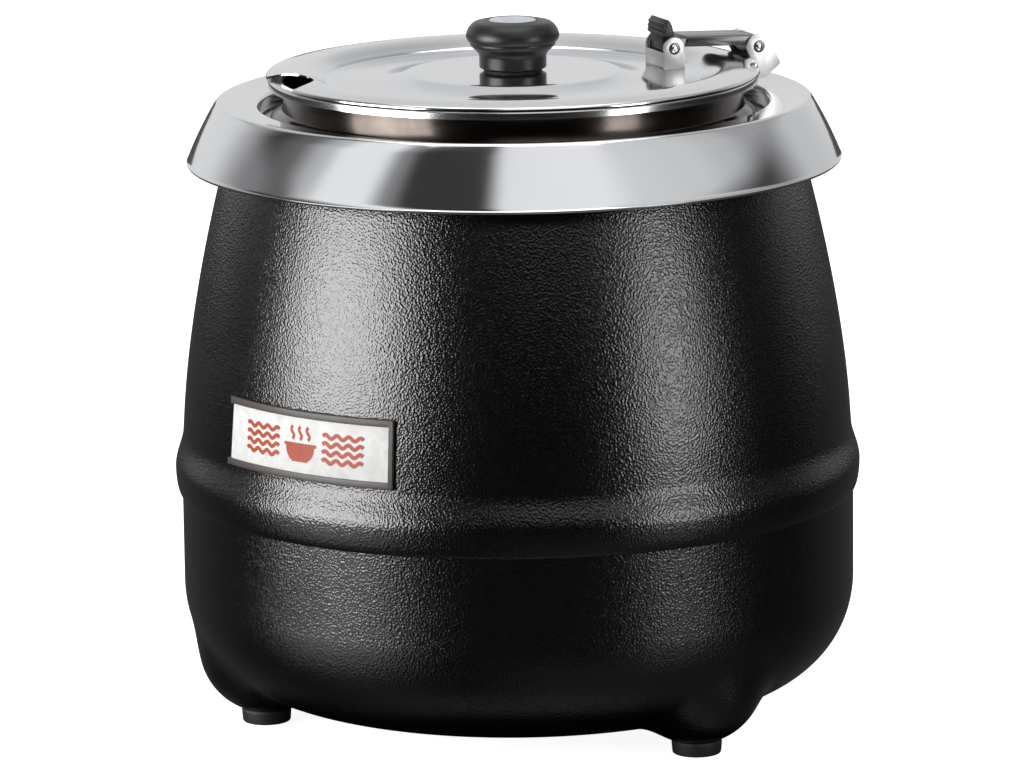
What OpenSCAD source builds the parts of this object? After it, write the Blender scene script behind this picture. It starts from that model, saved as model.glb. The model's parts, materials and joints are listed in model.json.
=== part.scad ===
// Electric soup kettle of the 10-litre class: a lift-out pot with a hinged lid in a wet-well housing.
// Millimetres. +Z is up, z = 0 is the surface that the feet stand on, and the Z axis is the axis of
// the housing. Azimuth 0 is the front, -Y, where the label is, and azimuth grows towards +X.

/* [Housing] */
// Radius of the straight belly below the band
belly_r = 167.5; // [160:0.5:172]
// How far the band at the joint of the two shells stands out
band_out = 3.2; // [2:0.2:5]
// Height of the lower edge of the band
band_z = 114; // [108:1:120]
// Radius that the upper shell narrows by towards the collar
neck_in = 24.5; // [20:0.5:30]
// Wall of every pressed sheet
sheet_t = 0.9; // [0.7:0.1:1.2]

/* [Collar] */
// Radius of the opening in the collar
opening_r = 126; // [125:0.5:128]
// Radius of the crease between the collar's top and its skirt
crease_r = 146.5; // [144:0.5:148]
// Radius of the skirt's lower lip
lip_r = 162; // [158:0.5:165]
// Height of the crease
crease_z = 310; // [309:0.5:311]
// Height of the skirt's lower lip
lip_z = 278.5; // [274:0.5:282]

/* [Legs] */
// Distance of the feet from the axis
foot_ring_r = 129.5; // [124:0.5:131]
// Azimuth of the first foot
foot_az = 80; // [70:1:90]
// Radius of the rounded leg bulges
leg_r = 34; // [32:0.5:35]
// Radius of a rubber foot
foot_r = 12.4; // [11:0.2:12.6]
// Height of a rubber foot
foot_h = 7; // [6:0.5:8]

/* [Pot] */
// Inside radius of the pot
pot_r = 113; // [111:0.5:113]
// Inside height of the pot's floor above the surface
pot_floor_z = 69; // [68:1:90]
// Outer radius of the pot's rolled rim
rim_r = 121; // [120.5:0.1:121]
// Height of the top of the rim
rim_z = 321.3; // [321:0.1:321.3]

/* [Lid] */
// Outer radius of the lid
lid_r = 121.9; // [121.2:0.1:121.9]
// Azimuth of the ladle notch
notch_az = -34; // [-60:1:20]
// Radius of the ladle notch
notch_r = 24; // [18:0.5:24]
// Height of the lid knob above the raised middle of the lid
knob_h = 25.6; // [25.4:0.2:27]

/* [Lid hinge] */
// Azimuth of the hinge
hinge_az = 150; // [140:1:160]
// Distance of the front pin from the axis, and its height
front_pin = [81.5, 329.4];
// Distance of the rear pin from the axis, and its height
rear_pin_at = [127.3, 327.5];
// Outside width of both hinge brackets
bracket_w = 24; // [22:1:26]

/* [Label] */
// Angle that the label card covers
card_deg = 34; // [30:1:36]
// Height of the label card's lower edge
card_z = 148; // [147:0.5:150]
// Height of the label card
card_h = 29; // [26:0.5:30]

/* [Control recess] */
// Width of the recess at the back
recess_w = 100; // [96:1:104]
// Height of the recess's lower edge
recess_z = 46; // [45:1:48]
// Height of the recess
recess_h = 42; // [40:1:43]
// Distance of the recess's floor from the axis
recess_y = 147.2; // [147:0.1:147.4]

/* [Hidden] */
round_fn = 96;
small_fn = 32;
fit = 0.05;

// Colours
black_paint = [0.05, 0.05, 0.055];
black_plastic = [0.08, 0.08, 0.09];
rubber = [0.03, 0.03, 0.03];
polished = [0.78, 0.78, 0.8];
satin = [0.7, 0.69, 0.67];
zinc = [0.62, 0.63, 0.6];
wool = [0.85, 0.8, 0.55];

// ---- paths and walls ----

function unit(v) = v / norm(v);
function left_of(a, b) = let(d = unit(b - a)) [-d[1], d[0]];
// Mitre vector at a path's point: moves both neighbouring segments sideways by 1
function mitre(p, i) =
    let(last = len(p) - 1,
        before = left_of(p[max(i - 1, 0)], p[max(i, 1)]),
        after = left_of(p[min(i, last - 1)], p[min(i + 1, last)]),
        both = before + after)
    both * 2 / (both * both);
// Closed outline of a sheet of thickness t on the left of a path (right where t is negative)
function walled(p, t) = concat(p, [for (i = [len(p) - 1 : -1 : 0]) p[i] + t * mitre(p, i)]);
function arc(c, r, from, to, steps) =
    [for (i = [0 : steps]) let(a = from + (to - from) * i / steps) c + r * [cos(a), sin(a)]];

module lathe(outline) rotate_extrude($fn = round_fn) polygon(outline);
module sheet(path, t = sheet_t) lathe(walled(path, t));
module ring(r_in, r_out, z, h) lathe([[r_in, z], [r_out, z], [r_out, z + h], [r_in, z + h]]);
module disc(r, z, h) translate([0, 0, z]) cylinder(r = r, h = h, $fn = round_fn);
module rod(r, z, h) translate([0, 0, z]) cylinder(r = r, h = h, $fn = small_fn);
module nut(r, hole_r, z, h) difference() {
    translate([0, 0, z]) cylinder(r = r, h = h, $fn = 6);
    rod(hole_r, z - 1, h + 2);
}

// ---- placing ----

// Local +X points away from the axis at an azimuth, local +Y along the growing azimuth
module at(az, r = 0) rotate([0, 0, az - 90]) translate([r, 0, 0]) children();
module around(n, az, r) for (i = [0 : n - 1]) at(az + i * 360 / n, r) children();
// A shape drawn in (radius, height), extruded across from y = a to y = b
module across(a, b) translate([0, b, 0]) rotate([90, 0, 0]) linear_extrude(b - a) children();
module span(r, at_rz, a, b) translate([at_rz[0], b, at_rz[1]]) rotate([90, 0, 0])
    cylinder(r = r, h = b - a, $fn = 48);
// Along +Y from y = a to y = b, for the control recess
module bore_y(r, x, z, a, b, fn = 48) translate([x, a, z]) rotate([-90, 0, 0])
    cylinder(r = r, h = b - a, $fn = fn);
// A run of wire: straight rods joined by slightly fatter balls
module wire(points, r) {
    for (i = [1 : len(points) - 1]) {
        v = points[i] - points[i - 1];
        translate(points[i - 1])
            rotate([0, acos(v[2] / norm(v)), atan2(v[1], v[0])])
                cylinder(r = r, h = norm(v), $fn = 16);
    }
    for (i = [1 : len(points) - 2]) translate(points[i]) sphere(r = r * 1.2, $fn = 16);
}

// ---- housing profiles ----

swell_z = 140;
neck_z = 285;
flange_z = 304.6;
function neck_r(z) = belly_r - 1 - neck_in * pow(max(z - swell_z, 0) / (neck_z - swell_z), 1.6);
crown_z = band_z + 13;
// The band swells out from the wall, crowns and turns in under itself
band_path = concat(
    [for (i = [0 : 6]) let(k = (1 - cos(30 * i)) / 2)
        [belly_r - 1 + (band_out + 1) * k, crown_z + 19 * (1 - i / 6)]],
    [for (a = [18 : 18 : 90]) [belly_r + 0.8 + (band_out - 0.8) * cos(a), crown_z - 13 * sin(a)]]);
upper_path = concat(
    [[129, flange_z], [134.4, flange_z]],
    arc([134.4, flange_z - 3.6], 3.6, 70, 10, 3),
    [for (z = [296 : -15 : 161]) [neck_r(z), z]],
    band_path);

bowl_z = 70;
bowl_r0 = 110;
base_z = 14;
// The bowl's corner is a slightly squared ellipse
bowl_path = [for (a = [0 : 9 : 90])
    [bowl_r0 + (belly_r - bowl_r0) * pow(cos(a), 0.95), bowl_z - (bowl_z - base_z) * pow(sin(a), 0.95)]];
bowl_hole_r = 90;
bowl_top_z = band_z + 9;
leg_z = foot_h + sqrt(leg_r * leg_r - foot_r * foot_r);

module bowl_solid(inset, top) {
    path = [for (i = [0 : len(bowl_path) - 1]) bowl_path[i] - inset * mitre(bowl_path, i)];
    lathe(concat([[0, top], [belly_r - inset, top]], path, [[0, base_z + inset]]));
}
module legs_solid(inset) around(3, foot_az, foot_ring_r - 1) intersection() {
    translate([0, 0, leg_z]) sphere(r = leg_r - inset, $fn = 64);
    translate([-50, -50, foot_h + inset]) cube([100, 100, 34]);
}

module upper_shell() color(black_paint) difference() {
    sheet(upper_path, -sheet_t);
    around(4, 45, stud_r) rod(1.7, flange_z - 3, 6);
    holder_rivet_places() rod_out(1.3, -6, 6);
}

module lower_shell() color(black_paint) difference() {
    union() {
        bowl_solid(0, bowl_top_z);
        legs_solid(0);
    }
    bowl_solid(sheet_t, bowl_top_z + 1);
    legs_solid(sheet_t);
    disc(bowl_hole_r, base_z - 1, 4);
    around(3, foot_az, foot_ring_r) rod(2.7, foot_h - 2, 6);
    around(3, foot_az + 60, base_screw_r) rod(2.1, base_z - 1, 4);
    behind() translate([-recess_w / 2 - 0.1, 130, recess_z - 0.1])
        cube([recess_w + 0.2, 60, recess_h + 0.2]);
}

// ---- collar and well ----

stud_r = 131.8;
collar_t = 0.9;
skirt_path = [for (k = [0 : 0.2 : 1])
    [crease_r + 1 + (lip_r - crease_r - 1.4) * k + 3 * k * (1 - k),
        crease_z - 1.4 - (crease_z - lip_z - 3) * k]];
collar_path = concat(
    [[opening_r, crease_z - 10]],
    arc([opening_r + 2, crease_z - 4], 2, 180, 100, 3),
    arc([crease_r - 1, crease_z - 2.3], 2.2, 88, 45, 2),
    skirt_path,
    arc([lip_r - 1.3, lip_z + 1.3], 1.3, 10, -90, 3));
module collar() color(polished) sheet(collar_path, -collar_t);

pan_rim_z = crease_z - 3.1;
ledge_z = 297.2;
ledge_r = 117;
well_r = opening_r + collar_t + 0.5;
well_floor_z = 60;
pan_path = concat(
    [[138, pan_rim_z], [well_r, pan_rim_z], [well_r, ledge_z + 1.4], [ledge_r, ledge_z]],
    arc([ledge_r - 10, well_floor_z + 10], 10, 0, -90, 4),
    [[4, well_floor_z]]);
module water_pan() color(satin) difference() {
    union() {
        sheet(pan_path);
        disc(6, well_floor_z - sheet_t, sheet_t);
    }
    around(4, 45, stud_r) rod(1.7, pan_rim_z - 3, 6);
}
module pan_gasket() color([0.75, 0.3, 0.2]) difference() {
    ring(129, 136, flange_z, pan_rim_z - sheet_t - flange_z);
    around(4, 45, stud_r) rod(1.7, flange_z - 2, 6);
}
// The studs are welded under the collar's dished top
stud_top_z = crease_z - 2.65;
module collar_studs() color(zinc) around(4, 45, stud_r) rod(1.5, 294, stud_top_z - 294);
module collar_nuts() color(zinc) around(4, 45, stud_r)
    nut(3.2, 1.5, flange_z - sheet_t - 2.6, 2.6);
module insulation_wrap() color(wool) ring(ledge_r + 1.5, 131, 100, 182);

// ---- heating ----

spreader_z = well_floor_z - sheet_t - 2;
element_z = spreader_z - 5;
clamp_z = element_z - 1.5;
shield_z = 36;
module heat_spreader() color([0.8, 0.8, 0.82]) ring(6.5, 88, spreader_z, 2);
module heating_element() color([0.7, 0.62, 0.45]) difference() {
    ring(12, 86, element_z, 5);
    for (r = [24 : 12 : 72]) ring(r, r + 4, element_z - 1, 2.4);
}
module element_clamp() color(zinc) difference() {
    ring(3.2, 84, clamp_z, 1.5);
    around(6, 30, 50) rod(9, clamp_z - 1, 4);
}
module tie_rod() color(zinc) rod(3, 7.5, well_floor_z - sheet_t - 7.5);
module tie_nuts() color(zinc) for (z = [clamp_z - 5, shield_z - 5, base_z - 1.2 - 5]) nut(5.5, 3, z, 5);
module heat_shield() color([0.72, 0.72, 0.74]) difference() {
    lathe([[3.2, shield_z], [110, shield_z], [112, shield_z + 8], [111.2, shield_z + 8.1],
        [109.4, shield_z + 0.8], [3.2, shield_z + 0.8]]);
    behind() at(15, 90) rod(7, shield_z - 1, 3);
}
module thermal_cutout() color(black_plastic) at(250, 97) {
    rod(7.5, well_floor_z - sheet_t - 6.5, 6.5);
    rod(5, well_floor_z - sheet_t - 10, 4);
}

// ---- base ----

base_screw_r = 95;
base_t = 1.2;
module base_plate() color(black_paint) difference() {
    ring(3.2, 99, base_z - base_t, base_t);
    around(3, foot_az + 60, base_screw_r) rod(2.1, base_z - 3, 5);
    for (row = [0 : 2]) around(12 + 6 * row, 0, 30 + 18 * row)
        translate([-5, -1.5, base_z - 3]) cube([10, 3, 5]);
}
module base_screws() color(zinc) around(3, foot_az + 60, base_screw_r) {
    rod(4, base_z - base_t - 2, 2);
    rod(2, base_z - base_t - 0.5, 9);
}
module rubber_feet() color(rubber) around(3, foot_az, foot_ring_r) difference() {
    lathe([[0, 0], [foot_r - 0.8, 0], [foot_r, 0.8], [foot_r - 0.5, foot_h], [0, foot_h]]);
    rod(5.2, -1, 4.6);
    rod(2.6, 0, foot_h + 1);
}
module foot_screws() color(zinc) around(3, foot_az, foot_ring_r) {
    rod(4.7, 1, 2.6);
    rod(2.5, 3, 15);
}
module foot_nuts() color(zinc) around(3, foot_az, foot_ring_r) nut(4.6, 2.5, foot_h + sheet_t, 4);

// ---- control recess, under the hinge ----

// Shapes drawn at azimuth 180, where +Y points outward, turned to the hinge's azimuth
module behind() rotate([0, 0, hinge_az - 180]) children();

recess_mid_z = recess_z + recess_h / 2;
dial_at = [-22, recess_mid_z];
lamp_at = [9, recess_mid_z + 9];
gland_at = [33, recess_mid_z];
tray_t = 1.2;
module control_tray() color(black_paint) behind() difference() {
    intersection() {
        translate([-recess_w / 2, recess_y - tray_t, recess_z]) cube([recess_w, 30, recess_h]);
        bowl_solid(0.05, 120);
    }
    translate([-recess_w / 2 + tray_t, recess_y, recess_z + tray_t])
        cube([recess_w - 2 * tray_t, 40, recess_h - 2 * tray_t]);
    bore_y(4.6, dial_at[0], dial_at[1], recess_y - 5, recess_y + 5);
    bore_y(5.1, lamp_at[0], lamp_at[1], recess_y - 5, recess_y + 5);
    bore_y(8.1, gland_at[0], gland_at[1], recess_y - 5, recess_y + 5);
}
module dial_plate() color([0.75, 0.75, 0.76]) behind() difference() {
    bore_y(19, dial_at[0], dial_at[1], recess_y, recess_y + 0.6);
    bore_y(4.6, dial_at[0], dial_at[1], recess_y - 5, recess_y + 5);
}
module thermostat() color([0.86, 0.84, 0.78]) behind() difference() {
    union() {
        translate([dial_at[0] - 16, recess_y - tray_t - 22, dial_at[1] - 15]) cube([32, 22, 30]);
        bore_y(4.5, dial_at[0], dial_at[1], recess_y - tray_t - 1, recess_y + 0.6);
        bore_y(7, dial_at[0], dial_at[1], recess_y + 0.6, recess_y + 2.4, 6);
    }
    bore_y(3 + fit, dial_at[0], dial_at[1], recess_y - 14, recess_y + 5);
}
module control_spindle() color(zinc) behind() bore_y(3, dial_at[0], dial_at[1], recess_y - 13, recess_y + 12);
module control_knob() color(black_plastic) behind() difference() {
    union() {
        bore_y(17.5, dial_at[0], dial_at[1], recess_y + 3, recess_y + 7);
        bore_y(14, dial_at[0], dial_at[1], recess_y + 7, recess_y + 18);
        translate([dial_at[0] - 1, recess_y + 17.5, dial_at[1]]) cube([2, 1.3, 13]);
    }
    for (a = [15 : 30 : 345]) bore_y(3, dial_at[0] + 16 * sin(a), dial_at[1] + 16 * cos(a),
        recess_y + 7.01, recess_y + 19, 24);
    bore_y(8.5, dial_at[0], dial_at[1], recess_y + 1, recess_y + 5);
    bore_y(3, dial_at[0], dial_at[1], recess_y + 1, recess_y + 12);
}
bulb_y = 97;
bulb_z = 55.4;
module thermostat_bulb() color([0.75, 0.5, 0.35]) behind() {
    translate([-38, bulb_y, bulb_z]) rotate([0, 90, 0]) cylinder(r = 3, h = 70, $fn = 24);
    wire([[-37, bulb_y, bulb_z], [-44, bulb_y + 3, 48], [-40, 114, 47], [-30, 118, 52],
        [dial_at[0], recess_y - tray_t - 22.2, 60]], 0.9);
}
module lamp_bezel() color(polished) behind() difference() {
    union() {
        bore_y(6.5, lamp_at[0], lamp_at[1], recess_y, recess_y + 1.6);
        bore_y(5, lamp_at[0], lamp_at[1], recess_y - 8, recess_y + 0.5);
    }
    bore_y(4, lamp_at[0], lamp_at[1], recess_y - 9, recess_y + 3);
}
module pilot_lamp() color([0.9, 0.45, 0.1]) behind() {
    bore_y(3.9, lamp_at[0], lamp_at[1], recess_y - 12, recess_y + 2.2);
    translate([lamp_at[0], recess_y + 2.2, lamp_at[1]]) rotate([-90, 0, 0])
        cylinder(r1 = 3.9, r2 = 2.6, h = 1.4, $fn = 32);
}
gland_bore_r = 4;
module cable_gland() color(black_plastic) behind() difference() {
    union() {
        bore_y(11.5, gland_at[0], gland_at[1], recess_y, recess_y + 5, 6);
        bore_y(9.6, gland_at[0], gland_at[1], recess_y + 5, recess_y + 12);
        bore_y(7.5, gland_at[0], gland_at[1], recess_y + 12, recess_y + 15);
        bore_y(8, gland_at[0], gland_at[1], recess_y - 12, recess_y + 1);
    }
    bore_y(gland_bore_r, gland_at[0], gland_at[1], recess_y - 13, recess_y + 16);
}
module gland_nut() color(black_plastic) behind() difference() {
    bore_y(11, gland_at[0], gland_at[1], recess_y - tray_t - 5, recess_y - tray_t, 6);
    bore_y(8, gland_at[0], gland_at[1], recess_y - 12, recess_y);
}
block_at = [40, 56];
module terminal_block() color([0.9, 0.88, 0.8]) behind() translate([block_at[0], block_at[1], base_z])
    difference() {
        union() {
            translate([-16, -9, 0]) cube([32, 18, 6]);
            for (x = [-11, 0, 11]) translate([x - 4, -7, 5]) cube([8, 14, 10]);
        }
        for (x = [-11, 0, 11]) translate([x, 0, 8]) rod(2, 0, 10);
    }
wire_r = 1.1;
module inner_wires() behind() {
    // From the terminal block to the thermostat
    color([0.5, 0.3, 0.15]) wire([[block_at[0] - 15, block_at[1] - 4, 25], [20, 80, 24], [0, 106, 26],
        [-12, 118, 40], [-14, recess_y - tray_t - 22, 56]], wire_r);
    // From the terminal block up through the heat shield to the element
    color([0.1, 0.3, 0.7]) wire([[block_at[0] - 15, block_at[1] - 5, 22], [24, 30, 22], [23.3, -60, 24],
        [23.3, -88, 30], [23.3, -88, 44], [22, -84, 48], [20, -76, clamp_z - 1.4]], wire_r);
    // From the pilot lamp down to the terminal block
    color([0.6, 0.1, 0.1]) wire([[lamp_at[0], recess_y - 12, lamp_at[1]], [10, 127, 70], [14, 120, 38],
        [30, 95, 26], [38, 75, 22], [38, block_at[1] + 7, 22]], wire_r);
}

// ---- label ----

card_t = 0.8;
holder_gap = 0.12;
// The holder lies on the straight line that just clears the upper shell
holder_low = [neck_r(card_z - 2) + holder_gap, card_z - 2];
holder_high = [neck_r(card_z + card_h + 2) + holder_gap, card_z + card_h + 2];
shell_bulge = neck_r(card_z + card_h / 2) - (neck_r(card_z) + neck_r(card_z + card_h)) / 2;
function holder_pt(out, up) =
    let(along = unit(holder_high - holder_low), away = [along[1], -along[0]],
        from = holder_low + [shell_bulge + 0.1, 0])
    from + along * up + away * out;
slot_len = norm(holder_high - holder_low);
module turned(deg, outline) rotate([0, 0, -90 - deg / 2])
    rotate_extrude(angle = deg, $fn = round_fn) polygon(outline);
module holder_wall(deg) turned(deg, [for (p = [[0, 0], [0, slot_len], [2.2, slot_len],
    [2.2, slot_len - 3.4], [1.7, slot_len - 3.4], [1.7, slot_len - 1.7], [0.5, slot_len - 1.7],
    [0.5, 1.7], [1.7, 1.7], [1.7, 3.4], [2.2, 3.4], [2.2, 0]]) holder_pt(p[0], p[1])]);
module label_holder() color([0.22, 0.2, 0.19]) difference() {
    union() {
        holder_wall(card_deg + 1.4);
        at(card_deg / 2 + 0.4) rotate([0, 0, -0.3]) rotate_extrude(angle = 0.6, $fn = round_fn)
            polygon([for (p = [[0.1, 0.5], [0.1, slot_len - 0.5], [2.1, slot_len - 0.5], [2.1, 0.5]])
                holder_pt(p[0], p[1])]);
    }
    holder_rivet_places() rod_out(1.3, -6, 6);
}
rivet_pt = holder_pt(0, slot_len / 2);
module holder_rivet_places() for (a = [-card_deg / 3, card_deg / 3]) at(a)
    translate([rivet_pt[0], 0, rivet_pt[1]]) children();
// Along local +X from x = a to x = b
module rod_out(r, a, b) translate([a, 0, 0]) rotate([0, 90, 0]) cylinder(r = r, h = b - a, $fn = small_fn);
module holder_rivets() color(zinc) holder_rivet_places() {
    rod_out(1.2, -1.8, 0.42);
    rod_out(2.2, -2.6, -1.6);
}
module label_card() color([0.95, 0.95, 0.93]) turned(card_deg,
    [for (p = [[0.65, 1.85], [0.65, slot_len - 1.85], [0.65 + card_t, slot_len - 1.85],
        [0.65 + card_t, 1.85]]) holder_pt(p[0], p[1])]);

// ---- pot ----

bead_r = 119.4;
bead_z = ledge_z + 3.3;
pot_path = concat(
    [[0, pot_floor_z]],
    arc([pot_r - 12, pot_floor_z + 12], 12, -90, 0, 5),
    [[pot_r, bead_z - 3.9], [bead_r - 0.4, bead_z - 0.8], [bead_r, bead_z], [bead_r - 0.4, bead_z + 0.8],
        [pot_r, bead_z + 3.9]],
    arc([pot_r + 4, rim_z - 4], 4, 180, 90, 4),
    arc([rim_r - 1.2, rim_z - 1.2], 1.2, 90, 0, 3),
    [[rim_r, rim_z - 4.4]]);
clamp_screw_z = rim_z - 2.7;
module inner_pot() color(satin) difference() {
    sheet(pot_path, -sheet_t);
    for (y = [-6, 6]) at(hinge_az) clamp_hole(y, 1.6);
}
module clamp_hole(y, r) translate([114.5, y, clamp_screw_z]) rod_out(r, 0, 12);

half_w = bracket_w / 2;
plate_t = 1.2;
boss_r = 3;
bracket_floor_z = rear_pin_at[1] - 15.8;
// Side plate of the rear bracket, drawn around its pin
module side_plate() difference() {
    union() {
        circle(r = 6.5, $fn = 48);
        polygon([[4.2, 4.9], [12, -9], [3.2, -15.8], [-1.6, -15.8], [-3.9, -8.2], [-5.2, -3.9], [0, 0]]);
    }
    circle(r = boss_r + fit, $fn = 48);
}
module hinge_bracket() color(satin) at(hinge_az) difference() {
    union() {
        for (y = [-half_w, half_w - plate_t]) across(y, y + plate_t) translate(rear_pin_at) side_plate();
        across(-half_w + 0.5, half_w - 0.5) translate(rear_pin_at)
            polygon([[6.9, 0], [12, -9], [3.2, -15.8], [-6, -15.8], [-6, -14.6], [2.8, -14.6],
                [10.4, -8.8], [5.7, -0.4]]);
        rotate([0, 0, -5]) rotate_extrude(angle = 10, $fn = round_fn)
            polygon([[rim_r + 0.1, bracket_floor_z], [rim_r + 1.3, bracket_floor_z],
                [rim_r + 1.3, rim_z - 0.4], [rim_r + 0.1, rim_z - 0.4]]);
    }
    for (y = [-6, 6]) clamp_hole(y, 1.6);
}
module rim_clamp() color(black_plastic) at(hinge_az) difference() {
    rotate([0, 0, -4.7]) rotate_extrude(angle = 9.4, $fn = round_fn)
        polygon([[pot_r + sheet_t + 0.4, 306], [123.6, 306], [123.6, bracket_floor_z - 0.2],
            [rim_r - sheet_t - 0.1, bracket_floor_z - 0.2], [rim_r - sheet_t - 0.1, rim_z - 1.3],
            [pot_r + 4.4, rim_z - 1.3], [pot_r + 4.4, bracket_floor_z - 0.2],
            [pot_r + sheet_t + 0.4, bracket_floor_z - 0.2]]);
    for (y = [-6, 6]) clamp_hole(y, 1.5);
}
module clamp_screws() color(zinc) at(hinge_az) for (y = [-6, 6]) translate([0, y, clamp_screw_z]) {
    rod_out(1.5, 117.5, 123.1);
    rod_out(2.5, 122.55, 124.15);
}

// ---- lid ----

hub_z = 322.6;
disc_z = 319;
crest_z = 324.8;
lid_t = 0.8;
// From the raised middle over its shoulder, the flat ring and the crest to the edge
lid_path = concat(
    [[2.7, hub_z]],
    arc([49.5, hub_z - 10], 10, 90, 75.5, 3),
    arc([66, disc_z + 10], 10, 255.5, 270, 3),
    [[92, disc_z]],
    [for (k = [0.15 : 0.17 : 1]) [93 + 13 * k, disc_z + (crest_z - disc_z) * k * (2 - k)]],
    [[110, crest_z], [115, crest_z - 0.6], [119, crest_z - 1.5]],
    arc([lid_r - 1.2, rim_z + 0.5], 1.2, 70, 0, 3));
lid_under_z = disc_z - lid_t;
module lid() color(polished) difference() {
    sheet(lid_path, -lid_t);
    at(notch_az, lid_r + 5) rod(notch_r, 310, 20);
    at(hinge_az, front_pin[0]) for (y = [-6, 6]) translate([0, y, 0]) rod(1.6, lid_under_z - 1, 3);
}
base_in = 5.7;
web_h = 8.5;
module lid_bracket() color(satin) at(hinge_az) difference() {
    union() {
        for (y = [-half_w, half_w - plate_t]) across(y, y + plate_t) {
            translate(front_pin) circle(r = base_in, $fn = 48);
            translate([front_pin[0] - base_in, disc_z]) square([2 * base_in, front_pin[1] - disc_z]);
        }
        translate([front_pin[0] - base_in, -half_w + 0.5, disc_z])
            cube([2 * base_in, bracket_w - 1, plate_t]);
        translate([front_pin[0] - base_in, -half_w + 0.5, disc_z]) cube([1, bracket_w - 1, web_h]);
    }
    span(boss_r + fit, front_pin, -half_w - 1, half_w + 1);
    for (y = [-6, 6]) translate([front_pin[0], y, 0]) rod(1.6, disc_z - 1, 4);
}
module bracket_rivets() color(satin) at(hinge_az, front_pin[0]) for (y = [-6, 6]) translate([0, y, 0]) {
    rod(1.6, lid_under_z - 0.2, plate_t + lid_t + 0.4);
    rod(2.8, disc_z + plate_t, 1);
    rod(2.8, lid_under_z - 1, 1);
}
pin_r = 2;
module front_pin() color(polished) at(hinge_az) span(pin_r, front_pin, -half_w - 0.3, half_w + 0.3);
module rear_pin() color(polished) at(hinge_az) span(pin_r, rear_pin_at, -half_w - 0.3, half_w + 0.3);

// Along and above the line from the rear pin to the front pin
function on_arm(along, up) =
    let(d = unit(front_pin - rear_pin_at), n = [-d[1], d[0]] * -1) rear_pin_at + d * along + n * up;
arm_len = norm(front_pin - rear_pin_at);
arm_half = half_w - plate_t - 0.15;
knuckle_half = 8.4;
module arm_bar(from, to, low, high) polygon([on_arm(from, low), on_arm(to, low), on_arm(to, high),
    on_arm(from, high)]);
module hinge_arm() color(black_plastic) at(hinge_az) difference() {
    union() {
        across(-arm_half, arm_half) {
            translate(rear_pin_at) circle(r = 5.2, $fn = 48);
            polygon([on_arm(0, 0.6), on_arm(arm_len - 6, 0.6), on_arm(arm_len - 6, 4.2),
                on_arm(arm_len - 7.4, 5.6), on_arm(4.5, 5.6), on_arm(0, 5)]);
        }
        for (y = [-arm_half, knuckle_half]) across(y, y + arm_half - knuckle_half) {
            translate(front_pin) circle(r = 5, $fn = 48);
            arm_bar(arm_len - 8, arm_len, 0.6, 4.9);
        }
        span(boss_r, rear_pin_at, -half_w + 0.05, half_w - 0.05);
        for (y = [-half_w + 0.05, arm_half - 1]) span(boss_r, front_pin, y, y + half_w - arm_half + 0.95);
    }
    across(-arm_half + 1.8, arm_half - 1.8) arm_bar(8, arm_len - 8.5, -1, 3.8);
    span(pin_r, rear_pin_at, -half_w - 1, half_w + 1);
    span(pin_r, front_pin, -half_w - 1, half_w + 1);
}
lever_half = knuckle_half - 0.25;
module release_lever() color(black_plastic) at(hinge_az) translate([front_pin[0], 0, front_pin[1]])
    difference() {
        union() {
            across(-lever_half, lever_half) {
                circle(r = 4.4, $fn = 48);
                polygon([[-4.4, 0], [-4.9, 6.6], [1, 6.6], [3.2, 3.2], [0, -4.4]]);
            }
            across(-10.4, 10.4) polygon([[-5, 6], [-4.9, 9.5], [-4.3, 12.6], [-2.9, 14.3], [-1.9, 14.1],
                [-0.5, 11.6], [0.9, 6]]);
            for (z = [7.4, 9.6, 11.8]) span(0.7, [-4.8 + max(z - 10, 0) * 0.2, z], -9.6, 9.6);
        }
        span(pin_r + fit, [0, 0], -20, 20);
    }

// ---- lid knob ----

knob_top_z = hub_z + knob_h;
cap_r = 11.7;
seat_t = 0.8;
// From the foot up the neck, round the head and down into the cap's seat
knob_path = concat(
    [[2.5, hub_z + seat_t], [14.8, hub_z + seat_t], [16.6, hub_z + 1.6], [16.6, hub_z + 7]],
    [for (k = [0.25 : 0.25 : 1]) [16.6 + 5 * k * k, hub_z + 7 + 7.6 * k]],
    [for (a = [-30 : 20 : 70]) [15.6 + 7.4 * cos(a), knob_top_z - 8.4 + (a < 0 ? 5 : 7.6) * sin(a)]],
    [[cap_r + 0.8, knob_top_z - 0.5], [cap_r + 0.1, knob_top_z - 0.6], [cap_r + 0.1, knob_top_z - 1.6],
        [0, knob_top_z - 1.6], [0, hub_z + 14], [2.5, hub_z + 14]]);
module knob_base() color(rubber) ring(2.5, 14.4, hub_z, seat_t);
module lid_knob() color(black_plastic) lathe(knob_path);
module knob_cap() color([0.85, 0.86, 0.88]) lathe([[0, knob_top_z - 1.6], [cap_r, knob_top_z - 1.6],
    [cap_r, knob_top_z - 0.7], [cap_r - 0.6, knob_top_z - 0.4], [6, knob_top_z - 0.1], [0, knob_top_z]]);
module knob_washer() color(zinc) ring(2.7, 7, hub_z - lid_t - 1, 1);
module knob_screw() color(zinc) {
    rod(4.6, hub_z - lid_t - 4, 3);
    rod(2.5, hub_z - lid_t - 1.5, lid_t + 14.9);
}

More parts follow.
